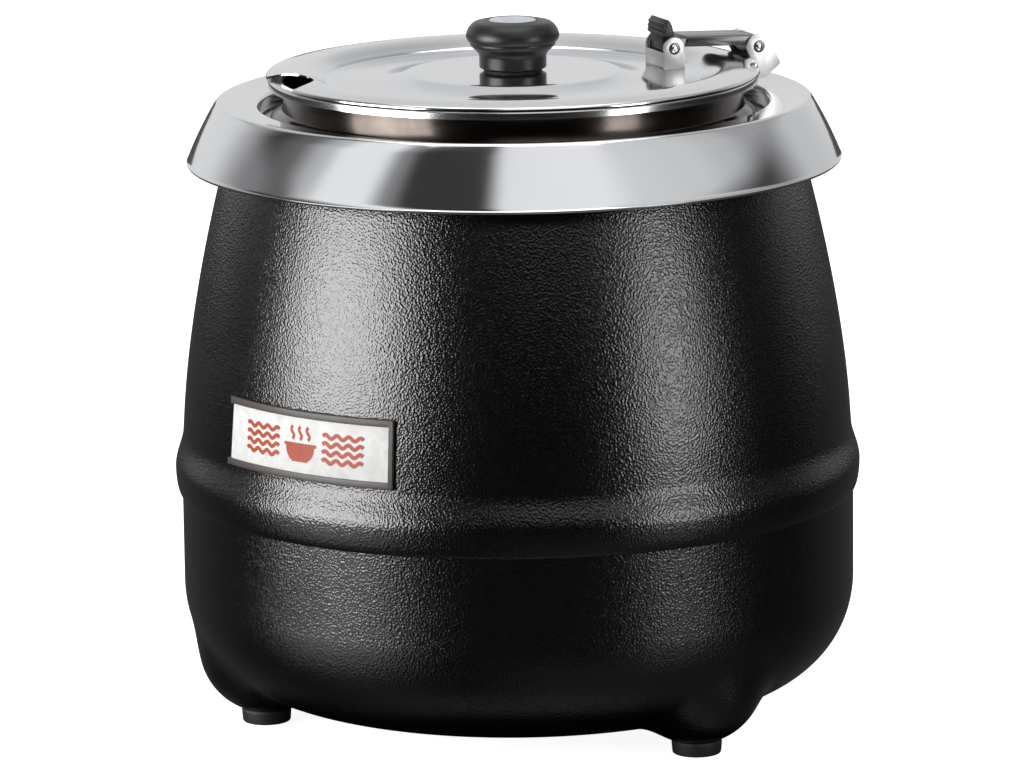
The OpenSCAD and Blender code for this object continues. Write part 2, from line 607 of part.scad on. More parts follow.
upper_shell();
lower_shell();
collar();
collar_studs();
collar_nuts();
pan_gasket();
water_pan();
insulation_wrap();
heat_spreader();
heating_element();
element_clamp();
tie_rod();
tie_nuts();
heat_shield();
thermal_cutout();
base_plate();
base_screws();
rubber_feet();
foot_screws();
foot_nuts();
control_tray();
dial_plate();
thermostat();
thermostat_bulb();
pilot_lamp();
lamp_bezel();
cable_gland();
gland_nut();
terminal_block();
inner_wires();
label_holder();
holder_rivets();
control_knob();
control_spindle();
label_card();
inner_pot();
hinge_bracket();
rim_clamp();
clamp_screws();
lid();
lid_bracket();
bracket_rivets();
front_pin();
rear_pin();
hinge_arm();
knob_base();
lid_knob();
knob_cap();
knob_screw();
knob_washer();
release_lever();
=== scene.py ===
import json
import math

import bmesh
import bpy
import numpy as np
from mathutils import Matrix, Vector

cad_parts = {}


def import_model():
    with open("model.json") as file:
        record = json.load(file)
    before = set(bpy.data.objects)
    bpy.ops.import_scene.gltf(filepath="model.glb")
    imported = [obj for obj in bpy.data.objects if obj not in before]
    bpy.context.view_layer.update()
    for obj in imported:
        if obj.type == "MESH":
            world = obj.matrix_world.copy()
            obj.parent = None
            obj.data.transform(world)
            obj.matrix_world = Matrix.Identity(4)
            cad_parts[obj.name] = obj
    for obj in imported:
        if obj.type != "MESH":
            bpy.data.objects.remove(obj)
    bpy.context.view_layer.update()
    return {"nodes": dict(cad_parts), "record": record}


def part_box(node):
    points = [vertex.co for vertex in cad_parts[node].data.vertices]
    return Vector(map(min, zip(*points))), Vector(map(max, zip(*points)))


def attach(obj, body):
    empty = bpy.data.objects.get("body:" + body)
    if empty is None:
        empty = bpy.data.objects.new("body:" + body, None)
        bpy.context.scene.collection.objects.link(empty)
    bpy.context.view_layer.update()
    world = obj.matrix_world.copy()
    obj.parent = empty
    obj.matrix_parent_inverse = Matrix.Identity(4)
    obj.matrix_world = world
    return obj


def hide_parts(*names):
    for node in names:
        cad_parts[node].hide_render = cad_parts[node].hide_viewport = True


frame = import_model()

JOINTS = {j["name"]: j for j in frame["record"]["behaviour"]["joints"]}

# Shapes are drawn in millimetres in the frame of the CAD model and made in metres.
# Azimuths are in degrees: 0 at -Y, growing towards +X.
MM = 0.001
MERGE = 0.0005
DEGENERATE = 0.0002
SHARP_DEG = 32


def box_mm(node):
    low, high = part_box(node)
    return low / MM, high / MM


def outer_r(node):
    """Radius of a round node whose axis is Z."""
    return box_mm(node)[1].x


def low_z(node):
    return box_mm(node)[0].z


def high_z(node):
    return box_mm(node)[1].z


def polar(x, y):
    """(azimuth, radius) of a point."""
    return math.degrees(math.atan2(x, -y)), math.hypot(x, y)


# ---- camera: lengths in metres, lens and sensor in millimetres, pitch and roll in radians ----

CAMERA_AZIMUTH = 38.6
CAMERA_DISTANCE = 3.0
CAMERA_HEIGHT = 0.7832
CAMERA_SIDE = -0.0024
CAMERA_PITCH = 0.2034
CAMERA_ROLL = 0.0123
CAMERA_LENS = 216.0
CAMERA_SENSOR = 36.0


def make_camera():
    data = bpy.data.cameras.new("camera")
    data.lens = CAMERA_LENS
    data.sensor_width = CAMERA_SENSOR
    data.clip_start, data.clip_end = 0.1, 50.0
    camera = bpy.data.objects.new("camera", data)
    bpy.context.scene.collection.objects.link(camera)
    a = math.radians(CAMERA_AZIMUTH)
    away = Vector((math.sin(a), -math.cos(a), 0))
    side = Vector((math.cos(a), math.sin(a), 0))
    camera.location = away * CAMERA_DISTANCE + side * CAMERA_SIDE + Vector((0, 0, CAMERA_HEIGHT))
    look = -away * math.cos(CAMERA_PITCH) - Vector((0, 0, math.sin(CAMERA_PITCH)))
    turn = look.to_track_quat("-Z", "Y").to_matrix() @ Matrix.Rotation(-CAMERA_ROLL, 3, "Z")
    camera.rotation_euler = turn.to_euler()
    bpy.context.scene.camera = camera


make_camera()
bpy.context.scene.view_settings.view_transform = "Standard"


# ---- meshes ----


def unit(v):
    return v / math.hypot(*v)


def arc(centre, r, start, end, steps):
    """Points on a circle from one angle to another, in degrees."""
    angles = np.radians(np.linspace(start, end, steps + 1))
    return [(centre[0] + r * math.cos(a), centre[1] + r * math.sin(a)) for a in angles]


def rounded(points, steps=6, closed=True):
    """An outline of (x, y, radius) corners, each rounded with its own radius."""
    out = []
    count = len(points)
    for i, (x, y, *r) in enumerate(points):
        r = r[0] if r else 0
        here = np.array((x, y), float)
        if not r or (not closed and i in (0, count - 1)):
            out.append((x, y))
            continue
        before = unit(np.array(points[i - 1][:2], float) - here)
        after = unit(np.array(points[(i + 1) % count][:2], float) - here)
        half = math.acos(max(-1, min(1, before @ after))) / 2
        reach = r / math.tan(half)
        start, end = here + before * reach, here + after * reach
        centre = here + unit(before + after) * r / math.sin(half)
        a0 = math.atan2(*(start - centre)[::-1])
        a1 = math.atan2(*(end - centre)[::-1])
        a1 += 2 * math.pi * round((a0 - a1) / (2 * math.pi))
        out += [tuple(centre + r * np.array((math.cos(a), math.sin(a))))
                for a in np.linspace(a0, a1, steps + 1)]
    return out


def walled(path, t):
    """The closed outline of a sheet of thickness t on the left of a path, or on its right below 0."""
    p = np.array(path, float)
    d = np.diff(p, axis=0)
    d /= np.linalg.norm(d, axis=1)[:, None]
    n = np.stack((-d[:, 1], d[:, 0]), 1)
    before = np.vstack((n[:1], n))
    after = np.vstack((n, n[-1:]))
    both = before + after
    off = both * 2 / (both ** 2).sum(1)[:, None]
    return [tuple(q) for q in p] + [tuple(q) for q in (p + t * off)[::-1]]


def is_sharp(edge, angle):
    return len(edge.link_faces) == 2 and edge.calc_face_angle(0) > math.radians(angle)


def object_of(name, bm):
    mesh = bpy.data.meshes.new(name)
    bm.to_mesh(mesh)
    bm.free()
    obj = bpy.data.objects.new(name, mesh)
    bpy.context.scene.collection.objects.link(obj)
    return obj


def clean(bm):
    """Drops the faces that closed up on the axis."""
    bmesh.ops.remove_doubles(bm, verts=bm.verts, dist=MERGE)
    bmesh.ops.dissolve_degenerate(bm, dist=DEGENERATE, edges=bm.edges)


def add_mesh(name, bm, sharp=SHARP_DEG, bevel=0.0, segments=2):
    """Turns a bmesh in millimetres into an object with smooth shading and sharp edges by angle."""
    bmesh.ops.remove_doubles(bm, verts=bm.verts, dist=MERGE)
    bmesh.ops.recalc_face_normals(bm, faces=bm.faces)
    if bevel:
        edges = [e for e in bm.edges if is_sharp(e, sharp)]
        bmesh.ops.bevel(bm, geom=edges, offset=bevel, segments=segments, profile=0.5,
                        affect="EDGES", clamp_overlap=True)
    bmesh.ops.scale(bm, vec=(MM, MM, MM), verts=bm.verts)
    for f in bm.faces:
        f.smooth = True
    for e in bm.edges:
        if is_sharp(e, sharp):
            e.smooth = False
    return object_of(name, bm)


def revolve_into(bm, outline, segments=256, start=0.0, sweep=360.0):
    """Revolves a closed outline of (radius, height) about Z."""
    full = sweep >= 360
    count = segments if full else segments + 1
    angles = np.radians(start + sweep * np.arange(count) / segments)
    rings = [[bm.verts.new((r * math.sin(a), -r * math.cos(a), z)) for r, z in outline] for a in angles]
    points = len(outline)
    for i in range(segments):
        one, two = rings[i], rings[(i + 1) % count]
        for k in range(points):
            n = (k + 1) % points
            on_axis = max(outline[k][0], outline[n][0]) < MERGE
            if not on_axis:
                bm.faces.new((one[k], two[k], two[n], one[n]))
    if not full:
        bm.faces.new(rings[0])
        bm.faces.new(rings[-1][::-1])


def revolve(name, outline, segments=256, start=0.0, sweep=360.0, sharp=SHARP_DEG):
    bm = bmesh.new()
    revolve_into(bm, outline, segments, start, sweep)
    clean(bm)
    return add_mesh(name, bm, sharp)


def prism_into(bm, outline, low, high, place=None):
    """Extrudes an outline of (x, z) from y = low to y = high, then moves it by a matrix."""
    place = place or Matrix.Identity(4)
    near = [bm.verts.new(place @ Vector((x, low, z))) for x, z in outline]
    far = [bm.verts.new(place @ Vector((x, high, z))) for x, z in outline]
    for i in range(len(outline)):
        n = (i + 1) % len(outline)
        bm.faces.new((near[i], near[n], far[n], far[i]))
    bm.faces.new(near[::-1])
    bm.faces.new(far)


def prism(name, outline, low, high, place=None, bevel=0.3, segments=2):
    bm = bmesh.new()
    prism_into(bm, outline, low, high, place)
    return add_mesh(name, bm, SHARP_DEG, bevel, segments)


def drum(name, profile, place, segments=64, sharp=SHARP_DEG):
    """Revolves (radius, height) about Z and puts it in place: knobs, pins and rings."""
    bm = bmesh.new()
    revolve_into(bm, profile, segments)
    clean(bm)
    bmesh.ops.transform(bm, matrix=place, verts=bm.verts)
    return add_mesh(name, bm, sharp)


def join(name, pieces):
    """One object of several, keeping their sharp edges."""
    bm = bmesh.new()
    for piece in pieces:
        bm.from_mesh(piece.data)
        bpy.data.objects.remove(piece)
    return object_of(name, bm)


def cut(obj, tool):
    """Takes one closed mesh out of another."""
    modifier = obj.modifiers.new("cut", "BOOLEAN")
    modifier.operation = "DIFFERENCE"
    modifier.solver = "EXACT"
    modifier.object = tool
    graph = bpy.context.evaluated_depsgraph_get()
    mesh = bpy.data.meshes.new_from_object(obj.evaluated_get(graph))
    obj.modifiers.clear()
    obj.data = mesh
    bpy.data.objects.remove(tool)
    sharpen(obj)


def sharpen(obj):
    """Marks the sharp edges anew after a cut."""
    bm = bmesh.new()
    bm.from_mesh(obj.data)
    for f in bm.faces:
        f.smooth = True
    for e in bm.edges:
        e.smooth = not is_sharp(e, SHARP_DEG)
    bm.to_mesh(obj.data)
    bm.free()


# ---- the pot's main sizes ----

RIM_Z = high_z("inner_pot")
RIM_R = 121.0
POT_R = 113.0

# ---- materials: texture scales per metre, bump depths in metres ----

# Sockets of a Mix node that mixes colours
MIX_FACTOR, MIX_A, MIX_B, MIX_RESULT = 0, 6, 7, 2


class Shader:
    """A Principled material and the nodes that feed it."""

    def __init__(self, name, colour, roughness, metallic=0.0, **sockets):
        self.material = bpy.data.materials.new(name)
        self.material.use_nodes = True
        self.tree = self.material.node_tree
        self.shader = self.tree.nodes["Principled BSDF"]
        self.shader.inputs["Base Color"].default_value = (*colour, 1)
        self.shader.inputs["Roughness"].default_value = roughness
        self.shader.inputs["Metallic"].default_value = metallic
        for socket, value in sockets.items():
            self.shader.inputs[socket.replace("_", " ")].default_value = value
        self.place = self.tree.nodes.new("ShaderNodeTexCoord").outputs["Object"]
        self.last_bump = None

    def node(self, kind, **values):
        made = self.tree.nodes.new(kind)
        for key, value in values.items():
            if key in made.inputs:
                made.inputs[key].default_value = value
            else:
                setattr(made, key, value)
        return made

    def link(self, out, into):
        self.tree.links.new(out, into)
        return into

    def stretched(self, scale):
        """The object's coordinates, scaled by a vector."""
        mapping = self.node("ShaderNodeMapping", vector_type="POINT")
        mapping.inputs["Scale"].default_value = scale
        self.link(self.place, mapping.inputs["Vector"])
        return mapping.outputs["Vector"]

    def noise(self, scale, detail=2.0, roughness=0.5, stretch=None):
        made = self.node("ShaderNodeTexNoise", Scale=scale, Detail=detail, Roughness=roughness)
        self.link(self.stretched(stretch) if stretch else self.place, made.inputs["Vector"])
        return made.outputs["Fac"]

    def cells(self, scale, smoothness=0.4):
        made = self.node("ShaderNodeTexVoronoi", feature="SMOOTH_F1", Scale=scale, Smoothness=smoothness)
        self.link(self.place, made.inputs["Vector"])
        return made.outputs["Distance"]

    def ramp(self, source, stops):
        """A colour ramp of (place, grey or colour) stops."""
        made = self.node("ShaderNodeValToRGB")
        ends = made.color_ramp.elements
        while len(ends) < len(stops):
            ends.new(0.5)
        for end, (where, value) in zip(ends, stops):
            end.position = where
            end.color = (*value, 1) if isinstance(value, tuple) else (value, value, value, 1)
        self.link(source, made.inputs["Fac"])
        return made.outputs["Color"]

    def blend(self, low, high, source):
        """A number that goes from low to high as source goes from 0 to 1."""
        made = self.node("ShaderNodeMapRange")
        made.inputs["To Min"].default_value = low
        made.inputs["To Max"].default_value = high
        self.link(source, made.inputs["Value"])
        return made.outputs["Result"]

    def fade(self, start, end, source):
        """A number that goes from 0 to 1 as source goes from start to end."""
        made = self.node("ShaderNodeMapRange")
        made.inputs["From Min"].default_value = start
        made.inputs["From Max"].default_value = end
        self.link(source, made.inputs["Value"])
        return made.outputs["Result"]

    def bump(self, height, distance, strength=1.0):
        made = self.node("ShaderNodeBump", Distance=distance, Strength=strength)
        self.link(height, made.inputs["Height"])
        if self.last_bump:
            self.link(self.last_bump, made.inputs["Normal"])
        self.last_bump = made.outputs["Normal"]
        self.link(self.last_bump, self.shader.inputs["Normal"])

    def colour(self, source):
        self.link(source, self.shader.inputs["Base Color"])

    def rough(self, source):
        self.link(source, self.shader.inputs["Roughness"])


COAT_GRAIN = 960.0


def powder_coat():
    """Glossy black with a pebbled grain about a millimetre across."""
    m = Shader("black_powder", (0.0016, 0.0015, 0.0016), 0.30, Specular_IOR_Level=0.75)
    m.bump(m.cells(COAT_GRAIN, 0.7), 0.00030, 0.62)
    m.bump(m.noise(COAT_GRAIN, 1.0), 0.00018, 0.38)
    m.rough(m.blend(0.18, 0.25, m.noise(300.0, 2.0)))
    m.colour(m.ramp(m.noise(90.0, 3.0), [(0.3, (0.0012, 0.0011, 0.0012)), (0.7, (0.0021, 0.0019, 0.0020))]))
    return m.material


def polished():
    """Mirror-like sheet that is slightly uneven, in gloss and in form."""
    m = Shader("polished_steel", (0.80, 0.80, 0.81), 0.09, 1.0)
    m.rough(m.blend(0.07, 0.13, m.noise(22.0, 4.0, 0.6)))
    m.colour(m.ramp(m.noise(9.0, 3.0), [(0.3, (0.755, 0.765, 0.785)), (0.7, (0.82, 0.83, 0.85))]))
    m.bump(m.noise(14.0, 2.0), 0.0004, 0.08)
    return m.material


def satin(name="satin_steel", tint=(0.70, 0.695, 0.68), rough=(0.36, 0.44), grain=2600.0):
    """Steel with a fine grain that runs along the horizontal."""
    m = Shader(name, tint, rough[0], 1.0)
    streaks = m.noise(grain, 3.0, 0.6, stretch=(0.04, 0.04, 1.0))
    m.rough(m.blend(*rough, streaks))
    m.bump(streaks, 0.00002, 0.08)
    m.colour(m.ramp(m.noise(30.0, 3.0), [(0.3, tuple(0.93 * c for c in tint)), (0.7, tint)]))
    return m


def pot_steel():
    """Bright inside and on the rim; dark brown painted shade on the outer wall under the rim, where the rim
    shades it.
    """
    m = satin("pot_steel", (0.66, 0.65, 0.63), (0.13, 0.22), 1500.0)
    parts = m.node("ShaderNodeSeparateXYZ")
    m.link(m.place, parts.inputs["Vector"])
    flat = m.node("ShaderNodeCombineXYZ")
    m.link(parts.outputs["X"], flat.inputs["X"])
    m.link(parts.outputs["Y"], flat.inputs["Y"])
    radius = m.node("ShaderNodeVectorMath", operation="LENGTH")
    m.link(flat.outputs["Vector"], radius.inputs[0])
    # Painted shade: a dark brown colour mixed in on the outer wall below the rim's edge, standing in for the
    # rim's shadow.
    both = m.node("ShaderNodeMath", operation="MULTIPLY")
    m.link(m.fade((POT_R - 0.4) * MM, (POT_R - 0.2) * MM, radius.outputs["Value"]), both.inputs[0])
    m.link(m.fade((RIM_Z - 4.1) * MM, (RIM_Z - 4.9) * MM, parts.outputs["Z"]), both.inputs[1])
    painted_shade = m.node("ShaderNodeMix", data_type="RGBA")
    m.link(both.outputs[0], painted_shade.inputs[MIX_FACTOR])
    m.link(m.shader.inputs["Base Color"].links[0].from_socket, painted_shade.inputs[MIX_A])
    m.link(m.ramp(m.noise(60.0, 3.0), [(0.3, (0.045, 0.038, 0.033)), (0.7, (0.080, 0.068, 0.060))]),
           painted_shade.inputs[MIX_B])
    m.colour(painted_shade.outputs[MIX_RESULT])
    return m.material


def moulded(name="black_plastic", colour=(0.010, 0.010, 0.011), roughness=0.34, specular=0.5):
    m = Shader(name, colour, roughness, Specular_IOR_Level=specular)
    m.bump(m.noise(1500.0, 2.0), 0.00006, 0.5)
    m.rough(m.blend(roughness - 0.05, roughness + 0.08, m.noise(120.0, 4.0)))
    m.colour(m.ramp(m.noise(200.0, 3.0), [(0.3, tuple(0.85 * c for c in colour)),
                                          (0.7, tuple(1.15 * c for c in colour))]))
    return m.material


def matt(name, colour, roughness=0.75, grain=700.0, depth=0.0001):
    m = Shader(name, colour, roughness)
    m.bump(m.noise(grain, 4.0, 0.6), depth, 0.6)
    m.rough(m.blend(roughness - 0.08, min(1, roughness + 0.08), m.noise(grain / 8, 3.0)))
    m.colour(m.ramp(m.noise(grain / 5, 4.0), [(0.3, tuple(0.88 * c for c in colour)),
                                              (0.7, tuple(min(1, 1.08 * c) for c in colour))]))
    return m.material


def wool():
    m = Shader("glass_wool", (0.75, 0.7, 0.42), 0.95, Sheen_Weight=0.3)
    m.bump(m.noise(260.0, 8.0, 0.75), 0.0012, 0.9)
    m.colour(m.ramp(m.noise(120.0, 6.0), [(0.25, (0.55, 0.48, 0.24)), (0.75, (0.86, 0.82, 0.55))]))
    return m.material


def worn_metal(name, colour, roughness):
    m = Shader(name, colour, roughness, 1.0)
    m.rough(m.blend(roughness - 0.08, roughness + 0.14, m.noise(160.0, 4.0)))
    m.bump(m.noise(900.0, 3.0), 0.00004, 0.4)
    m.colour(m.ramp(m.noise(70.0, 4.0), [(0.3, tuple(0.82 * c for c in colour)), (0.75, colour)]))
    return m.material


def lens():
    m = Shader("amber_lens", (0.85, 0.28, 0.03), 0.12, Coat_Weight=0.4)
    m.bump(m.cells(900.0, 0.2), 0.0002, 0.5)
    m.colour(m.ramp(m.noise(160.0, 2.0), [(0.3, (0.75, 0.2, 0.02)), (0.7, (0.9, 0.34, 0.05))]))
    return m.material


MATERIALS = {
    "black_powder": powder_coat(),
    "polished_steel": polished(),
    "satin_steel": satin().material,
    "zinc_steel": worn_metal("zinc_steel", (0.56, 0.56, 0.53), 0.3),
    "aluminium_sheet": worn_metal("aluminium_sheet", (0.74, 0.75, 0.76), 0.28),
    "black_plastic": moulded(),
    "foot_rubber": matt("foot_rubber", (0.012, 0.012, 0.012), 0.62),
    "gasket_rubber": matt("gasket_rubber", (0.42, 0.09, 0.05), 0.5),
    "element_band": worn_metal("element_band", (0.42, 0.35, 0.24), 0.42),
    "glass_wool": wool(),
    "pale_plastic": moulded("pale_plastic", (0.72, 0.7, 0.6), 0.42),
    "copper_bulb": worn_metal("copper_bulb", (0.78, 0.42, 0.28), 0.3),
    "amber_lens": lens(),
    "wire_cover": matt("wire_cover", (0.22, 0.07, 0.04), 0.5),
    "holder_dark": matt("holder_dark", (0.055, 0.045, 0.04), 0.45, 500.0, 0.00005),
    "card_white": matt("card_white", (0.66, 0.66, 0.65), 0.55, 900.0, 0.00002),
    "pot_steel": pot_steel(),
    "arm_plastic": moulded("arm_plastic", (0.022, 0.022, 0.025), 0.17, 0.95),
    "cap_grey": moulded("cap_grey", (0.56, 0.59, 0.64), 0.3),
    "card_ink": matt("card_ink", (0.36, 0.040, 0.006), 0.5, 900.0, 0.00001),
}
SLOT_OF = {s["node"]: s["material_slot"] for s in frame["record"]["subparts"]}
for node, shown in frame["nodes"].items():
    material = MATERIALS[SLOT_OF[node]]
    shown.data.materials.clear()
    shown.data.materials.append(material)


def dress(obj, body, *nodes, slot=None, finish=None):
    """obj rides on a body, stands for these CAD nodes and takes the first one's slot."""
    slot = slot or SLOT_OF[nodes[0]]
    obj.data.materials.clear()
    obj.data.materials.append(MATERIALS[finish or slot])
    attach(obj, body)
    if nodes:
        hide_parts(*nodes)
    return obj


# ---- the housing's shells ----

BAND_R = outer_r("upper_shell")
BAND_LOW = low_z("upper_shell")
BAND_HALF = 13.0
BAND_EASE = 19.0
FLANGE_R = 134.4
FLANGE_Z = high_z("upper_shell")
FLANGE_BEND = 3.6
BELLY_R = outer_r("lower_shell")
NECK_FOOT_R = BELLY_R - 1
NECK_FOOT_Z = 140.0
NECK_DRAW = 24.5
NECK_HEIGHT = 145.0
NECK_POWER = 1.6
UPPER_SHEET = 0.9
LOWER_SHEET = 1.2
FOOT_H = high_z("rubber_feet")


def neck_r(z):
    """Outer radius of the upper shell at a height above its band."""
    return NECK_FOOT_R - NECK_DRAW * (max(z - NECK_FOOT_Z, 0) / NECK_HEIGHT) ** NECK_POWER


def smooth_step(k):
    return k * k * (3 - 2 * k)


def upper_shell():
    """From the flange under the collar down the neck, out over the band and in to the lower shell."""
    crown = BAND_LOW + BAND_HALF
    tuck_r = BELLY_R + 0.1
    path = [(130, FLANGE_Z), (FLANGE_R, FLANGE_Z)]
    path += arc((FLANGE_R, FLANGE_Z - FLANGE_BEND), FLANGE_BEND, 80, 8, 8)
    path += [(neck_r(z), z) for z in np.arange(298, 147, -4)]
    path += [(NECK_FOOT_R + (BAND_R - NECK_FOOT_R) * smooth_step(k), crown + BAND_EASE * (1 - k))
             for k in np.linspace(0.02, 1, 20)]
    path += [(tuck_r + (BAND_R - tuck_r) * math.cos(a), crown - BAND_HALF * math.sin(a))
             for a in np.radians(np.arange(6, 91, 6))]
    return revolve("upper_shell_skin", walled(path, -UPPER_SHEET), 320)


dress(upper_shell(), "housing", "upper_shell")

# The bowl's section is a superellipse; the legs are spheres pressed out of it.
LEG_AZIMUTHS = (80, 200, 320)
LEG_RING = 128.5
FOOT_RING = LEG_RING + 1
LEG_R = 34.0
LEG_LIFT = 31.7
LEG_SOLE_BLEND = 1.5
LEG_BOWL_BLEND = 7.0
BOWL_CENTRE_R = 110.0
BOWL_CENTRE_Z = 70.0
BOWL_FLOOR = 14.0
BOWL_POWER = 2.12
BOWL_TOP = high_z("lower_shell")


def smooth_min(a, b, k):
    h = np.clip(0.5 + 0.5 * (b - a) / k, 0, 1)
    return b + (a - b) * h - k * h * (1 - h)


def bowl_distance(p):
    """Roughly how far points lie outside the bowl, in millimetres."""
    r = np.hypot(p[..., 0], p[..., 1])
    wide, deep = BELLY_R - BOWL_CENTRE_R, BOWL_CENTRE_Z - BOWL_FLOOR
    u = np.maximum(r - BOWL_CENTRE_R, 0) / wide
    v = np.maximum(BOWL_CENTRE_Z - p[..., 2], 0) / deep
    corner = (u ** BOWL_POWER + v ** BOWL_POWER) ** (1 / BOWL_POWER)
    return (corner - 1) * (wide + deep) / 2


def leg_distance(p):
    """How far points lie outside the nearest leg bulge."""
    best = np.full(p.shape[:-1], 1e9)
    for azimuth in LEG_AZIMUTHS:
        a = math.radians(azimuth)
        centre = np.array((LEG_RING * math.sin(a), -LEG_RING * math.cos(a), FOOT_H + LEG_LIFT))
        best = np.minimum(best, np.linalg.norm(p - centre, axis=-1) - LEG_R)
    return -smooth_min(-best, p[..., 2] - FOOT_H, LEG_SOLE_BLEND)


def in_lower_shell(p):
    return smooth_min(bowl_distance(p), leg_distance(p), LEG_BOWL_BLEND) < 0


def lower_shell():
    """The bowl with its pressed legs: a grid of rays from a ring inside it, each to the outer skin."""
    turns, rows = 540, 110
    start_r, far, near, stride, halvings = 96, 90, 20, 0.5, 12
    azimuth = np.radians(np.arange(turns) * 360 / turns)
    dive = np.radians(np.linspace(0, 90, rows))[None, :, None]
    out = np.stack((np.sin(azimuth), -np.cos(azimuth), np.zeros(turns)), 1)
    start = (out * start_r + np.array((0, 0, BOWL_CENTRE_Z)))[:, None, :]
    ray = out[:, None, :] * np.cos(dive) + np.array((0, 0, -1.0)) * np.sin(dive)
    hit = np.zeros((turns, rows))
    for step in np.arange(far, near, -stride):
        hit = np.where((hit == 0) & in_lower_shell(start + ray * step), step, hit)
    low, high = hit, np.minimum(hit + stride, far)
    for _ in range(halvings):
        middle = (low + high) / 2
        inside = in_lower_shell(start + ray * middle[..., None])
        low, high = np.where(inside, middle, low), np.where(inside, high, middle)
    skin = start + ray * low[..., None]
    # The skirt above the rays, then the flange under the base plate and the sheet's inner side
    above = [(BELLY_R, z) for z in (BOWL_TOP, 100, 78)]
    inner_r = BELLY_R - LOWER_SHEET
    inner = [(90, 14), (90, 15.2), (110, 15.4), (140, 24), (156, 44), (inner_r, 78), (inner_r, BOWL_TOP)]
    bm = bmesh.new()
    columns = []
    for (x, y, _), points in zip(out, skin):
        column = [bm.verts.new((x * r, y * r, z)) for r, z in above]
        column += [bm.verts.new(q) for q in points]
        column += [bm.verts.new((x * r, y * r, z)) for r, z in inner]
        columns.append(column)
    count = len(columns[0])
    for i in range(turns):
        one, two = columns[i], columns[(i + 1) % turns]
        for k in range(count):
            n = (k + 1) % count
            bm.faces.new((one[k], two[k], two[n], one[n]))
    shell = add_mesh("lower_shell_skin", bm, 40)
    tray_low, tray_high = box_mm("control_tray")
    cut(shell, recess_cutter(tray_low.z - RECESS_GAP, tray_high.z + RECESS_GAP))
    return shell


def joint_place(name):
    """(azimuth, (radius, height)) of a joint's pin."""
    x, y, z = (v / MM for v in JOINTS[name]["pos_m"])
    azimuth, r = polar(x, y)
    return azimuth, (r, z)


HINGE_AZIMUTH, REAR = joint_place("lid_hinge")
FRONT = joint_place("lid_tilt")[1]


def at_azimuth(azimuth, r=0.0, z=0.0):
    """Local +X points outward at an azimuth and local +Y along the growing azimuth."""
    return Matrix.Rotation(math.radians(azimuth - 90), 4, "Z") @ Matrix.Translation((r, 0, z))


HINGE = at_azimuth(HINGE_AZIMUTH)
RECESS_GAP = 0.1
RECESS_HALF = 50.0 + RECESS_GAP
RECESS_REACH = (130, 190)


def recess_cutter(low, high):
    near, far = RECESS_REACH
    bm = bmesh.new()
    prism_into(bm, [(near, low), (far, low), (far, high), (near, high)], -RECESS_HALF, RECESS_HALF, HINGE)
    return add_mesh("recess_cutter", bm)


dress(lower_shell(), "housing", "lower_shell")


def rubber_feet():
    """Rubber feet with a tapered side, a rounded tread and a recess for the screw."""
    profile = rounded([(2.7, 0.2), (5.2, 0.2), (5.2, 0, 0.2), (11.9, 0, 0.9), (12.4, FOOT_H - 1.2, 0.5),
                       (12.0, FOOT_H, 0.3), (2.7, FOOT_H)], 4)
    feet = [drum(f"foot_{i}", profile, at_azimuth(a, FOOT_RING)) for i, a in enumerate(LEG_AZIMUTHS)]
    return join("feet_rubber", feet)


dress(rubber_feet(), "housing", "rubber_feet")

# ---- collar ----

LIP_R = outer_r("collar")
LIP_Z = low_z("collar")
CREASE_Z = high_z("collar")
OPENING_R = 126.0
CREASE_R = 146.5
COLLAR_SHEET = 0.8


def collar():
    """A rolled edge round the opening, a nearly flat shoulder, a rounded crease and the sloping skirt."""
    path = [(OPENING_R, CREASE_Z - 10), (OPENING_R, CREASE_Z - 4.5)]
    path += arc((OPENING_R + 2.2, CREASE_Z - 4.2), 2.2, 178, 98, 10)
    path += [(CREASE_R - 12, CREASE_Z - 1.15), (CREASE_R - 5, CREASE_Z - 0.35)]
    path += arc((CREASE_R - 1.6, CREASE_Z - 2.6), 2.6, 84, 32, 10)
    skirt_r, skirt_z = CREASE_R + 1, CREASE_Z - 1.4
    spread, drop, belly = LIP_R - CREASE_R - 1.2, skirt_z - LIP_Z - 1.6, 3
    path += [(skirt_r + spread * k + belly * k * (1 - k), skirt_z - drop * k)
             for k in np.linspace(0.06, 1, 16)]
    path += arc((LIP_R - 1.5, LIP_Z + 1.5), 1.5, 0, -100, 10)
    path += arc((LIP_R - 1.7, LIP_Z + 1.5), 1.3, -120, -200, 4)
    return revolve("collar_skin", walled(path, -COLLAR_SHEET), 320, sharp=50)


dress(collar(), "housing", "collar")

# ---- pot ----

POT_FLOOR = 69.0
POT_CORNER = 12.0
POT_SHEET = 0.9
BEAD_LOW = 295.4
BEAD_HEIGHT = 9.8
BEAD_OUT = 6.4


def inner_pot():
    """A deep pot with a rounded bottom edge, a bead that rests on the collar and a rolled rim."""
    corner = (POT_R - POT_CORNER, POT_FLOOR + POT_CORNER)
    path = [(0, POT_FLOOR)] + arc(corner, POT_CORNER, -90, 0, 14) + [(POT_R, BEAD_LOW)]
    path += [(POT_R + BEAD_OUT * math.sin(math.pi * k) ** 1.6, BEAD_LOW + BEAD_HEIGHT * k)
             for k in np.linspace(0.08, 0.92, 14)]
    path += [(POT_R, BEAD_LOW + 10)]
    path += arc((POT_R + 4, RIM_Z - 4), 4, 180, 90, 10)
    path += arc((RIM_R - 1.6, RIM_Z - 1.6), 1.6, 90, 0, 8)
    path += [(RIM_R, RIM_Z - 4.2)]
    return revolve("pot_skin", walled(path, -POT_SHEET), 256, sharp=40)


dress(inner_pot(), "pot", "inner_pot", finish="pot_steel")

# ---- lid ----

LID_R = outer_r("lid")
LID_SHEET = 0.8
NOTCH_AZIMUTH = -34.0
NOTCH_R = 24.0
NOTCH_OUT = 5.0
HUB_Z = low_z("knob_base")
DISC_Z = HUB_Z - 3.6
CREST_Z = high_z("lid")


